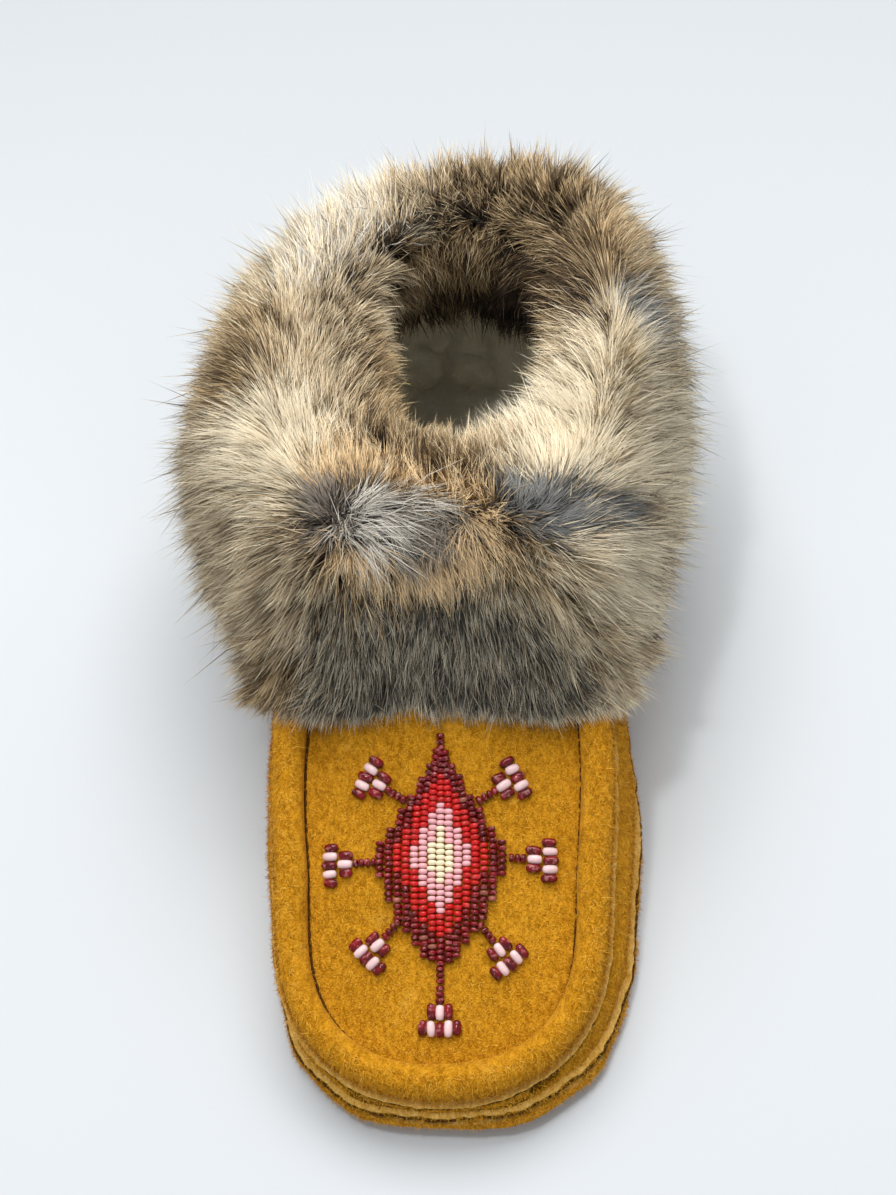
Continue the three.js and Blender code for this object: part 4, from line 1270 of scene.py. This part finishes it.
def hair_sizes(long, turn, place, lie, coat, tuft):
    """The length of each hair: less at the mouth, in the soft coats and where the hair stands up."""
    count = len(turn)
    edge = step(0.76, 1.0, place)[:, None]
    crop = np.interp(turn, *zip(*CROP))[:, None]
    size = long * MM * (1 - (0.2 + 0.45 * crop) * edge) * chance.normal(1, 0.16, (count, 1))
    size *= TUFT_SIZE[tuft][:, None]
    outward = (lie * read_grid(RISE_WAY, turn, place)).sum(1, keepdims=True) < 0.2
    longer = (chance.random((count, 1)) < LONG_SHARE) & outward
    size *= np.where(SOFT[coat][:, None], 0.84, 1) * np.where(longer, 1.3, 1)
    size *= 0.78 + 0.22 * np.linalg.norm(lie, axis=1, keepdims=True)
    return size * np.where((coat == WHITE)[:, None], 1.25, 1)


def hair_ways(place, lie, out, coat, sway):
    """The way from each hair's root to its tip: flatter at the mouth, at the hem and in the white tuft."""
    edge = step(0.76, 1.0, place)[:, None]
    skirt = 1 - step(0.0, 0.3, place)[:, None]
    lay = np.linalg.norm(lie, axis=1, keepdims=True)
    stand = 1.05 - 0.5 * edge - 0.4 * skirt + 0.6 * (1 - lay) - 0.35 * (coat == WHITE)[:, None]
    return unit(lie + out * stand + sway)


def hair_lines(turn, place, face, lie, out, way, sway, size, soft, tuft):
    """Each hair as a curve from its root, kept over the vamp and inside the box that hair may fill."""
    to_hem = np.maximum(-(way * read_grid(RISE_WAY, turn, place)).sum(1, keepdims=True), 0.05) * size
    held = np.clip((read_grid(FROM_HEM, turn, place) + BARE_HEM * MM) / to_hem, 0.4, 1)
    size = size * held
    root = face - out * mouth_sink(place)[:, None] * held * MM
    gather = np.where(soft[:, None], 0.25, 0.65)
    tip = root + way * size + gather * np.clip(TUFTS[tuft] - face, -TUFT_PULL * MM, TUFT_PULL * MM)
    middle = root + unit(out * 0.9 + lie * 0.3 + 0.5 * sway) * size * 0.5
    share = np.linspace(0, 1, HAIR_STEPS)[None, :, None]
    lines = (1 - share) ** 2 * root[:, None] + 2 * share * (1 - share) * middle[:, None]
    lines += share**2 * tip[:, None]
    low = np.maximum(last_height(lines) + HEM_CLEAR * MM - lines[..., 2], 0) * (share[..., 0] > 0.3)
    lines[..., 2] += np.minimum(low * (place < 0.4)[:, None], HEM_LIFT * MM)
    return np.clip(lines, np.array(cad_low) - HAIR_PAST * MM, np.array(cad_high) + HAIR_PAST * MM)


def hair_sides(lines, out):
    """The way across each hair's ribbon, turned at random about the hair."""
    along = unit(lines[:, -1] - lines[:, 0])
    roll = chance.normal(0, 0.7, (len(lines), 1))
    flat = unit(np.cross(along, out))
    side = flat * np.cos(roll) + unit(np.cross(along, flat)) * np.sin(roll)
    return side * np.where((np.cross(side, along) * out).sum(1, keepdims=True) < 0, -1, 1)


def grow_hair(count, long, wide, guard):
    """Hairs on the cuff, gathered into tufts: guard hairs with banded tips, or the down under them."""
    turn, place = sow(count)
    face = read_grid(CUFF_GRID, turn, place)
    lie = hair_run(turn, place, face)
    coat = choose_coats(face + lie * 0.4 * long * MM)
    keep = chance.random(count) > (SOFT_LEFT if guard else 0.0) * SOFT[coat]
    turn, place, face, lie, coat = (values[keep] for values in (turn, place, face, lie, coat))
    count = len(turn)
    soft = SOFT[coat]
    out = unit(read_grid(OUT_WAY, turn, place))
    tuft = nearest_of(TUFTS, face)
    size = hair_sizes(long, turn, place, lie, coat, tuft)
    sway = chance.normal(0, 0.22, (count, 3)) + TUFT_SWAY[tuft]
    way = hair_ways(place, lie, out, coat, sway)
    lines = hair_lines(turn, place, face, lie, out, way, sway, size, soft, tuft)
    side = hair_sides(lines, out)
    half = wide * MM / 2 * chance.uniform(0.7, 1.25, count) * np.where(soft, 0.75, 1)
    if guard:
        coat = np.where((chance.random(count) < BLACK_SHARE) & ~soft, BLACK_TIP, coat)
    spread = np.where(soft | (coat == CREAM), 0.6, 1)
    depth = np.clip(0.5 + (TUFT_DEPTH[tuft] + chance.normal(0, 0.2, count)) * spread, 0.03, 0.97)
    top = np.where(soft | guard, 1.0, 0.66)
    normals = unit(out * 0.9 + way * 0.25 + chance.normal(0, 0.16, (count, 3)))
    return turn, lines, half, side, (coat + depth) / len(COATS), top, normals


# The skin under the hair: how much lower than the roots and how thick it is, in mm, and its colours
PELT_LOWER, PELT_THICK = 0.5, 1.2
SKIN_DARK, SKIN_LIGHT = (0.13, 0.11, 0.086), (0.23, 0.195, 0.155)


def make_pelt():
    """The skin under the hair: the cuff's face drawn in, by every fourth turn and every third place."""
    sunk = (mouth_sink(np.linspace(0, LAST_PLACE, PLACES + 1)) + PELT_LOWER) * MM
    skin = (CUFF_GRID - OUT_WAY * sunk[None, :, None])[:-1:4, ::3]
    pelt = new_piece("fur_pelt", skin.reshape(-1, 3), grid_faces(*skin.shape[:2], rows_close=True))
    modify(pelt, "SOLIDIFY", thickness=PELT_THICK * MM, offset=-1)
    finish = Finish("pelt_skin", Roughness=0.9, Specular_IOR_Level=0.1)
    share = finish.limit(finish.grain(SKIN_SIZE, 3), 0.35, 0.65)
    finish.feed("Base Color", finish.mix(share, SKIN_DARK, SKIN_LIGHT))
    return finish_piece(pelt, finish.material, ["fur_cuff"])


# Pieces of the fur by the turn from the toe, and the two kinds of hair: count, length and width in mm,
# and whether it is guard hair
SECTORS = [("front", -60, 60), ("left", -125, -60), ("right", 60, 125), ("back", 125, 235)]
HAIRS = [("guard_hair", 132000, 15.0, 0.30, True), ("down", 70000, 12.5, 0.36, False)]


def make_fur():
    make_pelt()
    for kind, count, long, wide, guard in HAIRS:
        turn, *hairs = grow_hair(count, long, wide, guard)
        for name, low, high in SECTORS:
            here = ((turn >= low) & (turn < high)) | ((turn + 360 >= low) & (turn + 360 < high))
            hair_mesh(f"{name}_{kind}", *(values[here] for values in hairs))


# Stage, light and camera

# The paper: half its width, where it turns up and how wide that turn is, in metres, and its colours
# near and far
PAPER_HALF, SWEEP_AT, SWEEP_ROUND = 9.0, 0.34, 0.9
PAPER_DARK, PAPER_LIGHT, PAPER_FAR_SHADE = (0.655, 0.69, 0.722), (0.672, 0.707, 0.738), (0.42, 0.447, 0.47)
SKY_COLOUR, SKY_STRENGTH = (0.945, 0.97, 1.0, 1), 0.53
LAMPS = [
    # name, place, aim, width and depth, power, colour
    ("overhead_soft", (0.02, 0.70, 1.26), (0, 0.03, 0), (1.2, 0.8), 17.2, (1.0, 0.98, 0.95)),
    ("small_lamp", (-0.22, -0.13, 1.2), (0, -0.04, 0.03), (0.11, 0.11), 3.4, (1, 1, 1)),
]
# The camera's place and aim in mm, the way that is upright in its picture, and its lens and sensor
CAMERA_PLACE, CAMERA_AIM = Vector((56.0, -366.8, 594.6)), Vector((2.5, 2.0, 44.0))
UPRIGHT = Vector((0.0146, 0.8385, 0.5446))
LENS, SENSOR, NEAR = 74, 36, 0.01


def make_stage():
    """Pale paper: flat under the shoe, and swept up behind it, darker towards the back by painted shade."""
    run = [(-PAPER_HALF, 0.0), (SWEEP_AT, 0.0)]
    for turn in np.linspace(0.05, 1.5, 24):
        run.append((SWEEP_AT + SWEEP_ROUND * math.sin(turn), SWEEP_ROUND - SWEEP_ROUND * math.cos(turn)))
    spots = [(x, y, z) for y, z in run for x in (-PAPER_HALF, PAPER_HALF)]
    faces = [(2 * i, 2 * i + 1, 2 * i + 3, 2 * i + 2) for i in range(len(run) - 1)]
    floor = new_piece("studio_floor", spots, faces)
    paper = Finish("pale_paper", Roughness=0.85, Specular_IOR_Level=0.15)
    share = paper.limit(paper.grain(0.4, 2), 0.3, 0.7)
    plain = paper.mix(share, PAPER_DARK, PAPER_LIGHT)
    _, along, _ = paper.parts(paper.object_place())
    # Painted shade: the paper's colour darkens towards the back and stands in for the light falling off
    # there.
    paper.feed("Base Color", paper.mix(paper.limit(along, 0.05, 0.5), plain, PAPER_FAR_SHADE))
    floor.data.materials.append(paper.material)


def add_lamp(name, place, aim, size, power, colour):
    light = bpy.data.lights.new(name, "AREA")
    light.shape = "RECTANGLE"
    light.size, light.size_y = size
    light.energy = power
    light.color = colour
    lamp = bpy.data.objects.new(name, light)
    lamp.location = place
    lamp.rotation_euler = (Vector(aim) - Vector(place)).to_track_quat("-Z", "Y").to_euler()
    bpy.context.scene.collection.objects.link(lamp)


def make_light():
    world = bpy.data.worlds.new("studio")
    world.use_nodes = True
    sky = world.node_tree.nodes["Background"]
    sky.inputs["Color"].default_value = SKY_COLOUR
    sky.inputs["Strength"].default_value = SKY_STRENGTH
    bpy.context.scene.world = world
    for row in LAMPS:
        add_lamp(*row)
    bpy.context.scene.view_settings.view_transform = "Standard"
    bpy.context.scene.view_settings.look = "None"


def make_camera():
    data = bpy.data.cameras.new("photo_camera")
    camera = bpy.data.objects.new("photo_camera", data)
    bpy.context.scene.collection.objects.link(camera)
    place = CAMERA_PLACE * MM
    back = (place - CAMERA_AIM * MM).normalized()
    right = UPRIGHT.cross(back).normalized()
    turn = Matrix((right, back.cross(right), back)).transposed().to_4x4()
    camera.matrix_world = Matrix.Translation(place) @ turn
    data.sensor_width = SENSOR
    data.lens = LENS
    data.clip_start = NEAR
    bpy.context.scene.camera = camera


make_camera()
make_stage()
make_light()
wall = make_wall()
vamp = make_vamp()
sole = make_sole()
make_naps(wall, vamp, sole, make_edges(wall, vamp))
make_footbed()
make_lining(wall, vamp)
make_beads(vamp)
make_fur()
